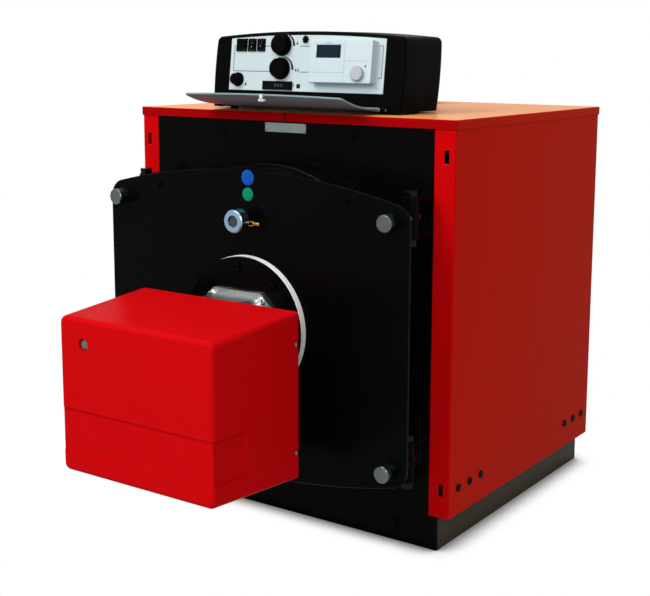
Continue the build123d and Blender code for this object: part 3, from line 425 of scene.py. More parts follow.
def make_materials(tints):
    """Every finish of the boiler, by the record's slot or by its own name."""
    enamel = (tints.enamel_black, (0.2, 0.3), 300, 3e-6, (hue(120, 118, 116), 0.12), 0.022, 0.005)
    powder = ((0.28, 0.3), 520, 8e-7, (hue(225, 60, 50), 0.3), 0.006)
    # Painted reflections on the red coats: a warm tint on slanting faces, and a pale sheen on faces seen along their
    # plane
    slant, sheen = (0.3, 0.75), (tints.casing_grazing_reflection, 0.82, 0.955)
    # Painted shade: the cover's coat turns black within this half width of the seam between its halves
    panel_foot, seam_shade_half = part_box("side_panel_right")[0].z - MM, 0.0014
    smoked = [wide(tints.flap_grey, share) for share in (0.99, 1.01)]
    MATERIALS.update(
        black_steel=coat("black_enamel", *enamel),
        red_sheet=coat(
            "red_powder_coat", tints.casing_red, *powder, glance=((tints.casing_slant_reflection, *slant), sheen),
            bands=(("Z", panel_foot, tints.enamel_black),),
        ),
        # Painted shade: the top cover takes a darker copy of the casing's red coat
        red_cover=coat(
            "red_cover_coat", tints.cover_shaded_red, *powder, glance=((tints.cover_slant_reflection, *slant), sheen),
            bands=(("X", seam_shade_half, tints.enamel_black),),
        ),
        # Painted reflection: brownish tint on the base's slanting faces
        base_steel=coat("base_enamel", *enamel, glance=((tints.base_slant_reflection, 0.3, 0.62),)),
        vessel_steel=mill_steel(),
        zinc_steel=metal("zinc_plate", tints.zinc, (0.22, 0.38), 1500, 6, 3e-6, 0.35, 0.7),
        blue_zinc=metal("blue_zinc", tints.blue_zinc, (0.24, 0.36), 1500, 6, 3e-6, 0.3, 0.75),
        bright_zinc=metal("bright_zinc", hue(196, 201, 203), (0.16, 0.26), 1500, 6, 3e-6, 0.25, 0.7),
        oiled_steel=metal("oiled_steel", hue(28, 29, 30), (0.14, 0.24), 1500, 6, 2e-6, 0.3, 0.6),
        refractory=refractory(),
        rope_seal=woven_rope(),
        gasket=moulding("gasket_board", tints.gasket_white, (0.75, 0.9), 900, 4e-5, 0.0003, 0.2),
        cast_aluminium=metal("raw_casting", tints.casting, (0.3, 0.5), 500, 2, 3e-5, 0.4, 0.6),
        red_plastic=moulding("red_moulding", tints.hood_red, (0.3, 0.36), 1700, 4e-6, 0.0012, 0.006),
        brass=metal("turned_brass", tints.brass, (0.16, 0.3), 1600, 8, 3e-6, 0.3, 0.6),
        lens_glass=glass(
            "sight_glass", 0.35, 1.5, 0.5, 600, 160, ((0.006, 0.01, 0.016, 1), (0.03, 0.05, 0.075, 1)), (0.04, 0.16)
        ),
        black_plastic=moulding("black_moulding", tints.housing_black, (0.4, 0.5), 1500, 6e-6, 0.0008, 0.014),
        black_window=moulding("black_window", hue(9, 10, 11), (0.16, 0.22), 900, 1e-6, 0.0004, 0.03),
        smoked_plastic=glass("smoked_sheet", 0.12, 1.45, 0.2, 300, 26, smoked, (0.28, 0.3)),
        fascia_white=moulding("fascia_film", tints.fascia_white, (0.42, 0.55), 2400, 2e-6, 0.0003, 0.2, 12),
        controller_white=moulding("white_moulding", tints.controller_white, (0.34, 0.46), 2000, 4e-6, 0.0008, 0.25),
        screen=display_glass(tints.screen_blue),
        grey_plastic=moulding("grey_moulding", hue(176, 180, 182), (0.36, 0.5), 1600, 5e-6, 0.0006, 0.3),
        ink_grey=moulding("grey_ink", tints.ink_grey, (0.5, 0.6), 3000, 1e-6, 0.0, 0.2, 60),
        ink_black=moulding("black_ink", tints.ink_black, (0.45, 0.6), 3000, 1e-6, 0.0, 0.15, 60),
        ink_pale=moulding("pale_ink", hue(150, 152, 156), (0.45, 0.6), 3000, 1e-6, 0.0, 0.1, 60),
        blue_film=moulding("blue_film", tints.disc_blue, (0.3, 0.42), 2600, 1e-6, 0.0, 0.05, 80),
        green_film=moulding("green_film", tints.disc_green, (0.3, 0.42), 2600, 1e-6, 0.0, 0.05, 80),
        plate_foil=metal("plate_foil", hue(124, 133, 133), (0.3, 0.42), 1800, 30, 2e-6, 0.2, 0.75),
        dim_glass=moulding("dim_glass", hue(96, 104, 106), (0.12, 0.2), 1200, 1e-6, 0.0004, 0.2),
        clear_clip=moulding("milky_clip", hue(222, 224, 224), (0.25, 0.35), 1200, 4e-6, 0.0004, 0.4),
    )


# Pieces and the meshes of single fasteners

SIDES = 24
DISC_SIDES = 48
CREASE = 35
DOUBLES = 1e-6


def add_piece(name, mesh, body, slot=None, material=None, crease=CREASE):
    """A finished piece at the origin that rides on a body, smooth but for its creases."""
    mesh.name = name
    made = bpy.data.objects.new(name, mesh)
    bpy.context.scene.collection.objects.link(made)
    mesh.materials.clear()
    mesh.materials.append(MATERIALS[material or slot])
    mesh.polygons.foreach_set("use_smooth", [True] * len(mesh.polygons))
    mesh.set_sharp_from_angle(angle=radians(crease))
    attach(made, body)


def solid(*rows):
    """Mesh of closed skins, each over a row of rings of like count."""
    build = bmesh.new()
    for rings in rows:
        loops = [[build.verts.new(point) for point in points] for points in rings]
        count = len(loops[0])
        for lower, upper in zip(loops, loops[1:]):
            for i in range(count):
                build.faces.new((lower[i], lower[(i + 1) % count], upper[(i + 1) % count], upper[i]))
        build.faces.new(loops[0][::-1])
        build.faces.new(loops[-1])
    bmesh.ops.remove_doubles(build, verts=build.verts, dist=DOUBLES)
    bmesh.ops.recalc_face_normals(build, faces=build.faces)
    mesh = bpy.data.meshes.new("piece")
    build.to_mesh(mesh)
    build.free()
    return mesh


def forward_solid(centre, rings):
    """Solid of rings about a centre, whose heights run forward."""
    return solid([[centre + Vector((x, -out, rise)) for x, rise, out in points] for points in rings])


def lobed(reaches, z):
    """Ring of points at the given reaches from its middle."""
    step = 2 * pi / len(reaches)
    return [(reach * cos(step * i), reach * sin(step * i), z) for i, reach in enumerate(reaches)]


def ring(radius, z, sides=SIDES):
    return lobed([radius] * sides, z)


def hexagon(flat, z, slope=0.0):
    """Hexagon of a half width across flats, whose corners sink by a slope, as a nut's do."""
    reaches = [flat / cos((2 * pi * i / SIDES + pi / 6) % (pi / 3) - pi / 6) for i in range(SIDES)]
    return [(x, y, z - (reach - flat) * slope) for (x, y, level), reach in zip(lobed(reaches, z), reaches)]


def cross(arm, waist, z):
    """Outline of a cross recess."""
    return lobed([arm if i % 6 in (0, 1, 5) else waist for i in range(SIDES)], z)


def hex_bolt(flat, head, washer, sheet, stud=0.0):
    """Bolt head or nut on a washer, with a stud end where one stands out."""
    seat = sheet + head
    rows = [
        [ring(washer * 0.97, 0), ring(washer, sheet * 0.25), ring(washer, sheet * 0.8), ring(washer * 0.95, sheet)],
        [hexagon(flat, sheet), hexagon(flat, seat, 0.55), ring(flat * 0.96, seat)],
    ]
    if stud:
        top = seat + stud
        rows.append([ring(flat * 0.6, seat), ring(flat * 0.6, top - flat * 0.12), ring(flat * 0.48, top)])
    return solid(*rows)


def socket_screw(radius, head):
    """Socket screw: a plain round head with a hexagon recess."""
    recess = radius * 0.5
    return solid([
        ring(radius, 0), ring(radius, head * 0.86), ring(radius * 0.9, head), ring(radius * 0.62, head),
        hexagon(recess, head * 0.97), hexagon(recess, head * 0.35), hexagon(recess * 0.3, head * 0.3),
    ])


def pan_screw(radius, head):
    """Pan head with a cross recess."""
    return solid([
        ring(radius, 0), ring(radius, head * 0.3), ring(radius * 0.9, head * 0.68), ring(radius * 0.72, head * 0.9),
        ring(radius * 0.62, head), cross(radius * 0.55, radius * 0.16, head * 0.99),
        cross(radius * 0.46, radius * 0.13, head * 0.45),
    ])


# Geometry trees for what repeats


def start_tree(name, sockets):
    """A geometry tree that takes points, its own sockets and a finish."""
    tree = bpy.data.node_groups.new(name, "GeometryNodeTree")
    for socket, kind in (("Points", "Geometry"), *sockets, ("Finish", "Material")):
        tree.interface.new_socket(socket, in_out="INPUT", socket_type="NodeSocket" + kind)
    tree.interface.new_socket("Mesh", in_out="OUTPUT", socket_type="NodeSocketGeometry")
    return tree, node(tree, "NodeGroupInput").outputs


def repeat(tree, points, shape, **placing):
    """A shape on every point, as plain geometry."""
    feeds = {"Points": points, "Instance": shape, **placing}
    placed = node(tree, "GeometryNodeInstanceOnPoints", feeds).outputs[0]
    return node(tree, "GeometryNodeRealizeInstances", {"Geometry": placed}).outputs[0]


def close_tree(tree, given, shape, **placing):
    """Ends a tree with the shape on its points, in its finish."""
    feeds = {"Geometry": repeat(tree, given["Points"], shape, **placing), "Material": given["Finish"]}
    node(tree, "NodeGroupOutput", {0: node(tree, "GeometryNodeSetMaterial", feeds).outputs[0]})
    return tree


def standing(tree):
    """Rotation that stands a shape along its point's facing."""
    facing = node(tree, "GeometryNodeInputNamedAttribute", {"Name": "facing"}, data_type="FLOAT_VECTOR").outputs[0]
    return node(tree, "FunctionNodeAlignRotationToVector", {"Vector": facing}, axis="Z").outputs[0]


def chance(tree, low, high, seed):
    return node(tree, "FunctionNodeRandomValue", {2: low, 3: high, "Seed": seed}, data_type="FLOAT").outputs[1]


def make_scatter_tree():
    """Fasteners on points: each stands along the point's facing and has its own turn."""
    tree, given = start_tree("fasteners_on_points", (("Fastener", "Object"), ("Turn", "Float"), ("Seed", "Int")))
    angle = chance(tree, 0.0, given["Turn"], given["Seed"])
    spin = node(tree, "FunctionNodeAxisAngleToRotation", {"Axis": UPWARD, "Angle": angle}).outputs[0]
    feeds = {"Rotation": standing(tree), "Rotate By": spin}
    turned = node(tree, "FunctionNodeRotateRotation", feeds, rotation_space="LOCAL").outputs[0]
    shape = node(tree, "GeometryNodeObjectInfo", {"Object": given["Fastener"]}, transform_space="ORIGINAL")
    return close_tree(tree, given, shape.outputs["Geometry"], Rotation=turned)


def make_bead_tree():
    """Weld round a circle: overlapping ripples, each a little different."""
    sockets = (("Circle Radius", "Float"), ("Ripples", "Int"), ("Width", "Float"), ("Seed", "Int"))
    tree, given = start_tree("weld_round_circle", sockets)
    circle = node(tree, "GeometryNodeMeshCircle", {"Vertices": given["Ripples"], "Radius": given["Circle Radius"]})
    ripple = node(tree, "GeometryNodeMeshUVSphere", {"Segments": 8, "Rings": 5, "Radius": given["Width"]})
    share = chance(tree, 0.85, 1.15, given["Seed"])
    size = node(tree, "ShaderNodeCombineXYZ", {0: share, 1: share, 2: 0.55}).outputs[0]
    beads = repeat(tree, circle.outputs[0], ripple.outputs[0], Scale=size)
    return close_tree(tree, given, beads, Rotation=standing(tree))


def make_thread_tree():
    """Thread in a socket: a stack of ridges upward from the point."""
    sockets = (("Bore Radius", "Float"), ("Pitch", "Float"), ("Ridges", "Int"))
    tree, given = start_tree("thread_ridges", sockets)
    half = maths(tree, "MULTIPLY", given["Pitch"], 0.42)
    circles = []
    for count, radius in ((64, given["Bore Radius"]), (4, half)):
        feeds = {"Resolution": count, "Radius": radius}
        circles.append(node(tree, "GeometryNodeCurvePrimitiveCircle", feeds, mode="RADIUS").outputs[0])
    ridge = node(tree, "GeometryNodeCurveToMesh", {"Curve": circles[0], "Profile Curve": circles[1]}).outputs[0]
    step = node(tree, "ShaderNodeCombineXYZ", {2: given["Pitch"]}).outputs[0]
    stack = node(tree, "GeometryNodeMeshLine", {"Count": given["Ridges"], "Offset": step}, mode="OFFSET").outputs[0]
    return close_tree(tree, given, repeat(tree, stack, ridge))


TREES = {}


def grow(name, maker, points, body, slot, material=None, crease=CREASE, **inputs):
    """A piece that a geometry tree makes on points, each given as a place and the way it faces."""
    if maker not in TREES:
        TREES[maker] = maker()
    tree = TREES[maker]
    base = bpy.data.meshes.new(name + "_points")
    base.from_pydata([place for place, facing in points], [], [])
    base.attributes.new("facing", "FLOAT_VECTOR", "POINT")
    base.attributes["facing"].data.foreach_set("vector", [part for place, facing in points for part in facing])
    holder = bpy.data.objects.new(name + "_points", base)
    modifier = holder.modifiers.new("tree", "NODES")
    modifier.node_group = tree
    values = {key.replace("_", " ").title(): value for key, value in inputs.items()}
    values["Finish"] = MATERIALS[material or slot]
    for socket in tree.interface.items_tree:
        if socket.name in values:
            modifier[socket.identifier] = values[socket.name]
    bpy.context.scene.collection.objects.link(holder)
    graph = bpy.context.evaluated_depsgraph_get()
    mesh = bpy.data.meshes.new_from_object(holder.evaluated_get(graph))
    bpy.data.objects.remove(holder)
    if not mesh.polygons:
        raise RuntimeError(f"{name} came out empty")
    if "facing" in mesh.attributes:
        mesh.attributes.remove(mesh.attributes["facing"])
    add_piece(name, mesh, body, slot, material, crease)


def fasten(name, shape, points, body, slot, seed, turn=2 * pi, material=None):
    """One fastener's mesh on every point, each turned by chance up to a limit."""
    source = bpy.data.objects.new(name + "_shape", shape)
    grow(name, make_scatter_tree, points, body, slot, material, fastener=source, turn=turn, seed=seed)
    bpy.data.objects.remove(source)


# Places


def front_of(name):
    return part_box(name)[0].y


def level_of(name):
    low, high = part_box(name)
    return (low.z + high.z) / 2


def both_sides(x, y, levels, facing, middle=0.0):
    """Points on the right and then on the left of a middle line, at every level."""
    return [(Vector((middle + side * x, y, z)), facing) for side in (1, -1) for z in levels]


def round_points(radius, y, z, count, first, facing):
    """Points evenly round a circle on the middle line, from a first turn in degrees."""
    turns = [radians(first + 360 / count * i) for i in range(count)]
    return [(Vector((radius * cos(t), y, z + radius * sin(t))), facing) for t in turns]


FASCIA_HALF = 0.0515


def fascia_frame():
    """Middle of the fascia's front face."""
    points = [v.co for v in frame["nodes"]["control_fascia"].data.vertices]
    out = max(p.dot(PANEL_NORMAL) for p in points)
    foot = min(p.dot(PANEL_UP) for p in points)
    low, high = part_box("control_fascia")
    return Vector(((low.x + high.x) / 2, 0, 0)) + PANEL_NORMAL * out + PANEL_UP * (foot + FASCIA_HALF)


FASCIA = fascia_frame()


def on_panel(x, rise, out=0.0):
    """Place on the fascia in millimetres from its middle, and out from its face."""
    return FASCIA + (Vector((x, 0, 0)) + PANEL_UP * rise + PANEL_NORMAL * out) * MM


def panel_spot(name):
    """Place of a node's middle on the fascia, in millimetres from the fascia's middle."""
    low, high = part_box(name)
    away = ((low + high) / 2 - FASCIA) / MM
    return away.x, away.dot(PANEL_UP)


def film(outlines, place, out, thick):
    """Thin raised print: each outline becomes a low block on the face that place gives."""
    levels = (out, out + thick)
    return solid(*[[[place(x, y, level) for x, y in outline] for level in levels] for outline in outlines])


def bar(x0, y0, x1, y1):
    return [(x0, y0), (x1, y0), (x1, y1), (x0, y1)]


def dot(x, y, radius, count=32):
    return [(x + across, y + rise) for across, rise, level in ring(radius, 0, count)]


def arc_band(x, y, inner, outer, start, end, count=24):
    """Band between two radii, in degrees from the right, whose width may change along it."""

    def edge(first, last):
        points = []
        for i in range(count + 1):
            turn = radians(start + (end - start) * i / count)
            radius = first + (last - first) * i / count
            points.append((x + radius * cos(turn), y + radius * sin(turn)))
        return points

    return edge(*outer) + edge(*inner)[::-1]


# Operators

FINISH_OF = {
    "sight_nut": "blue_zinc", "display_window": "black_window", "boiler_shell": "black_steel",
    "hinge_pins": "oiled_steel", "top_cover_left": "red_cover", "top_cover_right": "red_cover",
    "base_rails": "base_steel",
}


class BOILER_OT_finishes(bpy.types.Operator):
    """Make every finish and give it to the CAD nodes by their slots"""

    bl_idname = "boiler.finishes"
    bl_label = "Finishes"

    def execute(self, context):
        make_materials(context.scene.boiler_finishes)
        for name, made in frame["nodes"].items():
            slot = made.material_slots[0].material.name.split(".")[0]
            if slot not in MATERIALS:
                raise RuntimeError(f"{name} has no finish for {slot}")
            made.material_slots[0].material = MATERIALS[FINISH_OF.get(name, slot)]
        return {"FINISHED"}


class BOILER_OT_casing_screws(bpy.types.Operator):
    """Screws of the front plate and of the rear flanges"""

    bl_idname = "boiler.casing_screws"
    bl_label = "Casing screws"

    def execute(self, context):
        radius = context.scene.boiler_trim.sheet_screw / 2
        shape = pan_screw(radius, radius * 0.6)
        across, level = 0.156, 0.763
        points = both_sides(across, front_of("front_plate"), (level,), FORWARD)
        fasten("front_plate_screws", shape, points, "boiler", "black_steel", seed=3)
        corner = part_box("side_panel_right")[1]
        inset, levels = 0.02, (0.12, 0.33, 0.55, 0.76)
        points = both_sides(corner.x - inset, corner.y, levels, BACKWARD)
        fasten("rear_screws", shape, points, "boiler", "zinc_steel", seed=5)
        return {"FINISHED"}


class BOILER_OT_door_screws(bpy.types.Operator):
    """Screws on the upper part of the door"""

    bl_idname = "boiler.door_screws"
    bl_label = "Door screws"

    def execute(self, context):
        radius = context.scene.boiler_trim.sheet_screw / 2
        across, level, washer = 0.223, 0.661, 0.0012
        points = both_sides(across, front_of("door_plate"), (level,), FORWARD)
        shape = hex_bolt(radius * 0.85, radius * 0.9, radius * 1.1, washer)
        fasten("door_screws", shape, points, "door", "black_steel", seed=8)
        return {"FINISHED"}


class BOILER_OT_burner_fasteners(bpy.types.Operator):
    """Socket screws of the burner plate and bolts of the burner flange"""

    bl_idname = "boiler.burner_fasteners"
    bl_label = "Burner plate screws and flange bolts"

    def execute(self, context):
        trim = context.scene.boiler_trim
        axis = level_of("burner_plate")
        first_turn, bolt_place, washer = 94, 0.058, 0.002
        points = round_points(trim.cap_circle, front_of("burner_plate"), axis, 8, first_turn, FORWARD)
        radius = trim.cap_screw / 2
        fasten("burner_plate_screws", socket_screw(radius, radius * 0.9), points, "door", "black_steel", seed=11)
        levels = (axis + bolt_place, axis - bolt_place)
        points = both_sides(bolt_place, front_of("burner_flange"), levels, FORWARD)
        flat = trim.flange_bolt / 2
        shape = hex_bolt(flat, flat * 0.9, flat * 1.35, washer)
        fasten("flange_bolts", shape, points, "door", "zinc_steel", seed=4, material="bright_zinc")
        return {"FINISHED"}


class BOILER_OT_hood_trim(bpy.types.Operator):
    """Side screws and the round window of the burner hood"""

    bl_idname = "boiler.hood_trim"
    bl_label = "Hood screws and window"

    def execute(self, context):
        low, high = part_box("burner_hood")
        radius = context.scene.boiler_trim.hood_screw / 2
        sink, inset, levels = 0.0012, 0.0055, (0.412, 0.214)
        points = []
        for z in levels:
            points.append((Vector((high.x - sink, high.y - inset, z)), RIGHT))
            points.append((Vector((low.x + sink, high.y - inset, z)), LEFT))
        fasten("hood_screws", pan_screw(radius, radius * 0.85), points, "door", "zinc_steel", seed=6)
        centre = Vector((-0.128, low.y, 0.411))
        for name, material, steps in (
            # Black seat disc behind the lens, which also stands in as painted shade at the bottom of the deep window
            # hole
            ("hood_window_seat", "black_plastic", ((0.0107, -0.0059), (0.0107, -0.0054), (0.0104, -0.0052))),
            ("hood_window", "dim_glass", ((0.009, -0.0053), (0.009, -0.0042), (0.0082, -0.0036), (0.003, -0.0032))),
        ):
            mesh = forward_solid(centre, [ring(*step) for step in steps])
            add_piece(name, mesh, "door", material=material, crease=50)
        return {"FINISHED"}


class BOILER_OT_door_discs(bpy.types.Operator):
    """Two plain coloured discs on the door"""

    bl_idname = "boiler.door_discs"
    bl_label = "Door discs"

    def execute(self, context):
        trim = context.scene.boiler_trim
        face = front_of("door_plate")
        thick, bevel = 0.0004, 0.0003
        for name, size, z, tint in (
            ("blue_disc", trim.blue_disc, 0.687, "blue_film"), ("green_disc", trim.green_disc, 0.656, "green_film"),
        ):
            steps = ((size / 2, 0.0), (size / 2, thick / 2), (size / 2 - bevel, thick), (size / 4, thick))
            rings = [ring(radius, out, DISC_SIDES) for radius, out in steps]
            add_piece(name, forward_solid(Vector((0, face, z)), rings), "door", material=tint)
        return {"FINISHED"}


class BOILER_OT_blank_plate(bpy.types.Operator):
    """Blank metal plate on the front plate, held by four rivets"""

    bl_idname = "boiler.blank_plate"
    bl_label = "Blank plate"

    def execute(self, context):
        trim = context.scene.boiler_trim
        centre = Vector((-0.002, front_of("front_plate"), 0.773))
        half, rise = trim.plate_width / 2, trim.plate_height / 2
        corner, rivet_inset, rivet_seat = 0.0015, 0.003, 0.0006
        outline = []
        for sx, sz, first in ((1, 1, 0), (-1, 1, 90), (-1, -1, 180), (1, -1, 270)):
            for k in range(5):
                t = radians(first + 22.5 * k)
                outline.append((sx * (half - corner) + corner * cos(t), sz * (rise - corner) + corner * sin(t)))
        steps = ((1.0, 0.0), (1.0, 0.0004), (0.994, 0.0007))
        mesh = forward_solid(centre, [[(x * share, z * share, out) for x, z in outline] for share, out in steps])
        add_piece("blank_plate", mesh, "boiler", material="plate_foil", crease=20)
        levels = [centre.z + side * (rise - rivet_inset) for side in (1, -1)]
        points = both_sides(half - rivet_inset, centre.y - rivet_seat, levels, FORWARD, centre.x)
        rivet = solid([ring(0.0014, 0), ring(0.0013, 0.0004), ring(0.0009, 0.0008), ring(0.0004, 0.0009)])
        fasten("blank_plate_rivets", rivet, points, "boiler", "zinc_steel", seed=1, turn=0.0)
        return {"FINISHED"}


class BOILER_OT_back_fittings(bpy.types.Operator):
    """Nuts of the smoke box, screws of the flue rim and threads of the water sockets"""

    bl_idname = "boiler.back_fittings"
    bl_label = "Smoke box nuts, flue screws and socket threads"

    def execute(self, context):
        low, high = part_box("smoke_box")
        axis = (low.z + high.z) / 2
        flange, nut_inset, washer, stud = 0.006, 0.009, 0.0016, 0.005
        flat = context.scene.boiler_trim.smoke_nut / 2
        points = round_points((high.x - low.x) / 2 - nut_inset, low.y + flange, axis, 12, 15, BACKWARD)
        shape = hex_bolt(flat, flat, flat * 1.28, washer, stud)
        fasten("smoke_box_nuts", shape, points, "boiler", "zinc_steel", seed=9)
        rim_circle, rim, head = 0.101, 0.003, (0.0045, 0.003)
        points = round_points(rim_circle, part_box("smoke_box_back")[1].y + rim, axis, 6, 30, BACKWARD)
        fasten("flue_rim_screws", pan_screw(*head), points, "boiler", "zinc_steel", seed=2)
        bore, pitch, ridges, thread_depth = 0.0298, 0.0023, 12, 0.0285
        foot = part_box("water_sockets")[1].z - thread_depth
        mounts = [m for m in frame["record"]["mounts"] if "socket" in m["name"]]
        points = [(Vector((0, m["pos_m"][1], foot)), UPWARD) for m in mounts]
        grow("socket_threads", make_thread_tree, points, "boiler", "vessel_steel",
             bore_radius=bore, pitch=pitch, ridges=ridges, crease=30)
        return {"FINISHED"}


class BOILER_OT_welds(bpy.types.Operator):
    """Welds of the front tube plate: the furnace mouth, the plate's rim and the smoke tubes"""

    bl_idname = "boiler.welds"
    bl_label = "Vessel welds"

    def execute(self, context):
        width = context.scene.boiler_trim.weld_bead / 2
        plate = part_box("front_tube_plate")[0]
        axis = level_of("furnace_tube")
        tube_circle, tube_count, tube_weld = 0.243, 14, 0.0262
        middle = [(Vector((0, plate.y, axis)), FORWARD)]
        tubes = round_points(tube_circle, plate.y, axis, tube_count, 0, FORWARD)
        for name, points, radius, ripples, share, seed in (
            ("furnace_weld", middle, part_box("furnace_tube")[1].x + width * 0.4, 260, 1.3, 21),
            ("tube_plate_weld", middle, -plate.x - width * 0.6, 430, 1.3, 22),
            ("smoke_tube_welds", tubes, tube_weld, 44, 0.9, 23),
        ):
            grow(name, make_bead_tree, points, "boiler", "vessel_steel",
                 circle_radius=radius, ripples=ripples, width=width * share, seed=seed)
        return {"FINISHED"}


class BOILER_OT_fascia_print(bpy.types.Operator):
    """Frame lines, knob scales and small marks printed on the fascia"""

    bl_idname = "boiler.fascia_print"
    bl_label = "Fascia print"

    def execute(self, context):
        half = context.scene.boiler_trim.print_line / MM / 2
        upper, lower, left, right = 36.7, -13.5, -177.5, 24.0
        knob_left, knob_right, knob_low = -83.0, -14.0, -9.5
        end_in, end_out, end_upper, end_lower = 171.5, 180.5, 38.0, -22.0
        lines = [
            bar(left - half, lower, left + half, upper + half),
            bar(left, upper - half, knob_left, upper + half),
            bar(knob_right, upper - half, right, upper + half),
            bar(left - half, lower - half, knob_left, lower + half),
            bar(knob_low, lower - half, right, lower + half),
            bar(end_in, end_upper - half, end_out, end_upper + half),
            bar(end_out - half, end_lower, end_out + half, end_upper + half),
            bar(end_in, end_lower - half, end_out, end_lower + half),
        ]
        add_piece("fascia_lines", film(lines, on_panel, 0.0, 0.12), "boiler", material="ink_grey")
        scales = [
            arc_band(*panel_spot(name), (22.6, 25.0), (24.2, 30.2), 84, -3)
            for name in ("thermostat_knob_upper", "thermostat_knob_lower")
        ]
        cap_x, cap_rise = panel_spot("limit_cap")
        drops = ((-20.5, 41.5, 2.0), (-20.0, -10.8, 1.8), (-14.5, -10.8, 1.8), (cap_x + 20.0, cap_rise - 9.0, 2.3))
        marks = [
            *scales,
            *[dot(*drop) for drop in drops],
            *[bar(x - 0.8, rise + radius * 0.8, x + 0.8, rise + radius * 2.3) for x, rise, radius in drops],
            bar(-15.5, -45.5, -6.5, -37.0),
            bar(-24.5, -44.0, -23.3, -37.5),
            bar(-24.5, -38.7, -20.5, -37.5),
            bar(-153.0, 50.9, -140.0, 51.6),
            dot(-131.5, 51.4, 1.2),
            dot(-108.5, 51.4, 1.4),
        ]
        add_piece("fascia_marks", film(marks, on_panel, 0.0, 0.14), "boiler", material="ink_black")
        return {"FINISHED"}


class BOILER_OT_switch_marks(bpy.types.Operator):
    """Pale marks on the two narrow rockers and grey segments on the display window"""

    bl_idname = "boiler.switch_marks"
    bl_label = "Switch and display marks"

    def execute(self, context):
        slope, sink, thick = radians(14), 0.02, 0.12
        normal = Vector((0, -cos(slope), sin(slope)))
        rise = Vector((0, sin(slope), cos(slope)))
        marks = {
            "mode_rocker": [dot(0, -4.2, 1.3, 20), bar(-0.4, 2.6, 0.4, 4.8)],
            "test_rocker": [dot(-0.6, -2.2, 1.3, 20), bar(0.4, 3.4, 1.2, 5.6)],
        }
        for body, joint in JOINTS.items():
            if body not in marks:
                continue
            pivot = Vector(joint["pos_m"])

            def on_rocker(x, y, out):
                return pivot + (Vector((x, 0, 0)) + rise * y + normal * out) * MM

            out = max((v.co - pivot).dot(normal) for v in frame["nodes"][body].data.vertices) / MM
            mesh = film(marks[body], on_rocker, out - sink, thick)
            add_piece(body + "_mark", mesh, body, material="ink_pale")
        window_face, foot, top = 3.98, -43.6, -38.4
        digits = []
        centre = panel_spot("display_window")[0]
        for x in (centre - 4.0, centre + 4.0, centre + 12.0):
            digits.append(bar(x - 2.0, foot, x - 1.1, top))
            digits.append(bar(x + 1.1, foot, x + 2.0, top))
            digits.append(bar(x - 1.0, top - 0.5, x + 1.0, top + 0.1))
        add_piece("display_segments", film(digits, on_panel, window_face, 0.08), "boiler", material="ink_grey")
        return {"FINISHED"}


class BOILER_OT_controller_print(bpy.types.Operator):
    """Fine joints, a dash and a dot on the face of the controller"""

    bl_idname = "boiler.controller_print"
    bl_label = "Controller print"

    def execute(self, context):
        face = 19.98
        lines = [
            bar(106.8, -33.0, 107.2, 46.0),
            bar(107.4, 7.3, 166.0, 7.7),
            bar(26.5, -15.2, 106.6, -14.8),
            bar(36.0, 38.6, 106.6, 39.0),
            bar(62.0, 40.6, 76.0, 41.4),
        ]
        add_piece("controller_lines", film(lines, on_panel, face, 0.06), "boiler", material="ink_grey")
        lamp = [dot(156.0, -2.5, 1.9, 24)]
        add_piece("controller_dot", film(lamp, on_panel, face, 0.3), "boiler", material="ink_black")
        return {"FINISHED"}


class BOILER_OT_panel_trim(bpy.types.Operator):
    """Star-headed screw in the fascia and the latch on the flap"""

    bl_idname = "boiler.panel_trim"
    bl_label = "Panel screw and flap latch"

    def execute(self, context):
        lobes = [0.0076 if i % 3 == 0 else 0.0046 for i in range(SIDES)]
        steps = ((1.0, 0.0), (1.0, 0.005), (0.86, 0.006), (0.4, 0.006))
        star = solid([lobed([reach * share for reach in lobes], z) for share, z in steps])
        points = [(on_panel(0.5, 49.8), PANEL_NORMAL)]
        fasten("panel_screw", star, points, "boiler", "black_plastic", seed=1, turn=0.3)
        low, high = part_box("panel_flap")
        right_of_middle, below_top, bevel = 0.009, 0.0055, 0.0004
        edge = Vector(((low.x + high.x) / 2 + right_of_middle, low.y, high.z - below_top))
        blocks = []
        for width, front, back, foot, top in (
            (0.012, -0.0008, 0.007, -0.0085, -0.0038),
            (0.0052, -0.0008, 0.0014, -0.006, 0.005),
            (0.009, 0.0, 0.005, 0.0, 0.0016),
        ):
            outline = bar(-width / 2, front, width / 2, back)
            levels = ((bevel, foot), (0.0, foot + bevel), (0.0, top - bevel), (bevel, top))
            blocks.append([
                [edge + Vector((x - copysign(inset, x), y + (inset if y < back else -inset), z)) for x, y in outline]
                for inset, z in levels
            ])
        add_piece("flap_latch", solid(*blocks), "panel_flap", material="clear_clip", crease=40)
        return {"FINISHED"}


WHITE = (1, 1, 1, 1)
LAMPS = (
    ("key", (-0.95, -2.8, 2.9), (0, -0.3, 0.4), 1.6),
    ("fill", (1.9, -3.0, 1.9), (0.3, 0, 0.4), 1.4),
    ("top", (0.0, -0.9, 3.2), (0, -0.2, 0.4), 2.2),
)
CAMERA_PLACE = (1.39844, -2.0357, 0.92734)
CAMERA_TURN = (0.5982, 0.1635, 0.0055)
CAMERA_LENS = 66.55
CAMERA_SHIFT = (-0.0308, -0.0815)


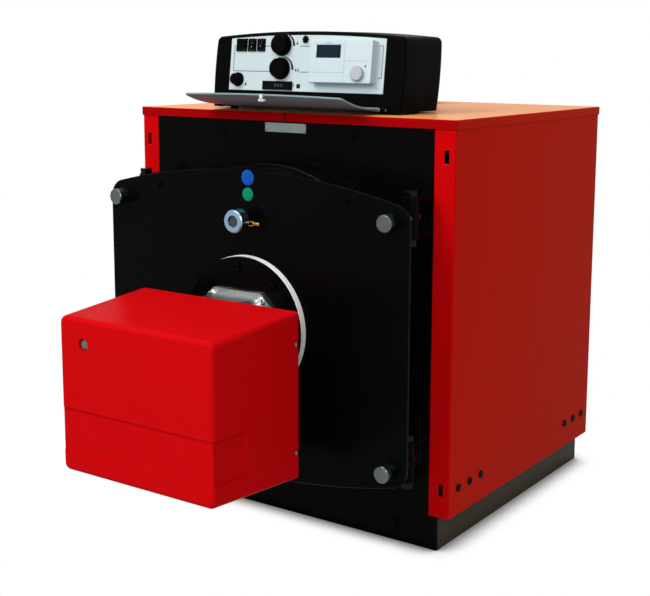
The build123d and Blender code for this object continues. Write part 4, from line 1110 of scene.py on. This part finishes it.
class BOILER_OT_stage(bpy.types.Operator):
    """Floor, lamps, sky and the camera"""

    bl_idname = "boiler.stage"
    bl_label = "Stage"

    def seen_rays(self, tree):
        """1 on rays from the camera, from gloss and through glass."""
        path = node(tree, "ShaderNodeLightPath").outputs
        gloss = maths(tree, "MAXIMUM", path["Is Glossy Ray"], path["Is Transmission Ray"])
        return maths(tree, "MAXIMUM", path["Is Camera Ray"], gloss)

    def under_casing_shadow(self, tree):
        """1 on the floor between the end plates, where the floor is painted black as shadow."""
        low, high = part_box("base_rails")
        axes = axes_of(tree, place_of(tree))
        inside = 1.0
        for axis in (0, 1):
            middle, half = (low[axis] + high[axis]) / 2, (high[axis] - low[axis]) / 2
            away = maths(tree, "ABSOLUTE", maths(tree, "SUBTRACT", axes[axis], middle))
            inside = maths(tree, "MULTIPLY", inside, maths(tree, "LESS_THAN", away, half))
        return inside

    def make_floor(self, stage):
        """White floor to the eye, with a painted soft contact shadow and a painted black shadow under the casing;
        plain grey to the light that it sends back.
        """
        mesh = bpy.data.meshes.new("floor")
        half = stage.floor_size / 2
        mesh.from_pydata([(x, y, FLOOR_LINE) for x, y in bar(-half, -half, half, half)], [], [(0, 1, 2, 3)])
        floor = bpy.data.objects.new("floor", mesh)
        bpy.context.scene.collection.objects.link(floor)
        material = bpy.data.materials.new("pale_floor")
        material.use_nodes = True
        tree = material.node_tree
        tree.nodes.clear()
        hidden = node(tree, "ShaderNodeAmbientOcclusion", {"Distance": stage.shadow_reach}, samples=16).outputs["AO"]
        # Painted shadow: the floor's colour darkens where occlusion is high, and turns black under the casing
        tone = blend(tree, spread(tree, hidden, 0.45, 0.97), (0.16, 0.16, 0.16, 1), WHITE)
        tone = blend(tree, self.under_casing_shadow(tree), tone, (0.002, 0.002, 0.002, 1))
        shown = node(tree, "ShaderNodeEmission", {"Color": tone, "Strength": 1.0}).outputs[0]
        matt = node(tree, "ShaderNodeBsdfDiffuse", {"Color": (0.45, 0.45, 0.45, 1)}).outputs[0]
        mixed = node(tree, "ShaderNodeMixShader", {0: self.seen_rays(tree), 1: matt, 2: shown}).outputs[0]
        node(tree, "ShaderNodeOutputMaterial", {"Surface": mixed})
        mesh.materials.append(material)

    def make_sky(self, stage):
        """Soft light from all round, and plain white to the eye."""
        world = bpy.data.worlds.new("studio")
        bpy.context.scene.world = world
        world.use_nodes = True
        tree = world.node_tree
        tree.nodes.clear()
        soft, white = [
            node(tree, "ShaderNodeBackground", {"Color": WHITE, "Strength": level}).outputs[0]
            for level in (stage.sky, 1.0)
        ]
        mixed = node(tree, "ShaderNodeMixShader", {0: self.seen_rays(tree), 1: soft, 2: white}).outputs[0]
        node(tree, "ShaderNodeOutputWorld", {"Surface": mixed})

    def make_lamp(self, name, place, aim, size, power):
        light = bpy.data.lights.new(name, "AREA")
        light.shape = "SQUARE"
        light.size = size
        light.energy = power
        lamp = bpy.data.objects.new(name, light)
        lamp.location = place
        lamp.rotation_euler = (Vector(aim) - Vector(place)).to_track_quat("-Z", "Y").to_euler()
        bpy.context.scene.collection.objects.link(lamp)

    def make_camera(self):
        """Camera fitted to the photograph: its place, its yaw, pitch and roll, its lens and its shift."""
        yaw, pitch, roll = CAMERA_TURN
        ahead = Vector((-sin(yaw) * cos(pitch), cos(yaw) * cos(pitch), -sin(pitch)))
        level_right = Vector((cos(yaw), sin(yaw), 0))
        level_up = level_right.cross(ahead)
        right = level_right * cos(roll) + level_up * sin(roll)
        up = level_up * cos(roll) - level_right * sin(roll)
        data = bpy.data.cameras.new("camera")
        data.sensor_width = 36
        data.lens = CAMERA_LENS
        data.shift_x, data.shift_y = CAMERA_SHIFT
        camera = bpy.data.objects.new("camera", data)
        camera.matrix_world = Matrix((*zip(right, up, -ahead, CAMERA_PLACE), (0, 0, 0, 1)))
        bpy.context.scene.collection.objects.link(camera)
        bpy.context.scene.camera = camera

    def execute(self, context):
        stage = context.scene.boiler_stage
        self.make_floor(stage)
        self.make_sky(stage)
        for name, place, aim, size in LAMPS:
            self.make_lamp(name + "_lamp", place, aim, size, getattr(stage, name))
        self.make_camera()
        context.scene.view_settings.view_transform = "Standard"
        return {"FINISHED"}


STEPS = (
    BOILER_OT_finishes,
    BOILER_OT_casing_screws,
    BOILER_OT_door_screws,
    BOILER_OT_burner_fasteners,
    BOILER_OT_hood_trim,
    BOILER_OT_door_discs,
    BOILER_OT_blank_plate,
    BOILER_OT_back_fittings,
    BOILER_OT_welds,
    BOILER_OT_fascia_print,
    BOILER_OT_switch_marks,
    BOILER_OT_controller_print,
    BOILER_OT_panel_trim,
    BOILER_OT_stage,
)


class BOILER_PT_steps(bpy.types.Panel):
    """Steps that dress the boiler, with its sizes and colours"""

    bl_label = "Boiler"
    bl_idname = "BOILER_PT_steps"
    bl_space_type = "VIEW_3D"
    bl_region_type = "UI"
    bl_category = "Boiler"

    def draw(self, context):
        for step in STEPS:
            self.layout.operator(step.bl_idname)
        for group in (context.scene.boiler_finishes, context.scene.boiler_trim, context.scene.boiler_stage):
            box = self.layout.box()
            for name in group.__annotations__:
                box.prop(group, name)


PROPERTIES = (("boiler_finishes", BoilerFinishes), ("boiler_trim", BoilerTrim), ("boiler_stage", BoilerStage))


def register():
    for name, group in PROPERTIES:
        bpy.utils.register_class(group)
        setattr(bpy.types.Scene, name, bpy.props.PointerProperty(type=group))
    for step in (*STEPS, BOILER_PT_steps):
        bpy.utils.register_class(step)


def unregister():
    for step in reversed((*STEPS, BOILER_PT_steps)):
        bpy.utils.unregister_class(step)
    for name, group in reversed(PROPERTIES):
        delattr(bpy.types.Scene, name)
        bpy.utils.unregister_class(group)


def main():
    register()
    for step in STEPS:
        area, name = step.bl_idname.split(".")
        getattr(getattr(bpy.ops, area), name)()


if __name__ == "__main__":
    main()
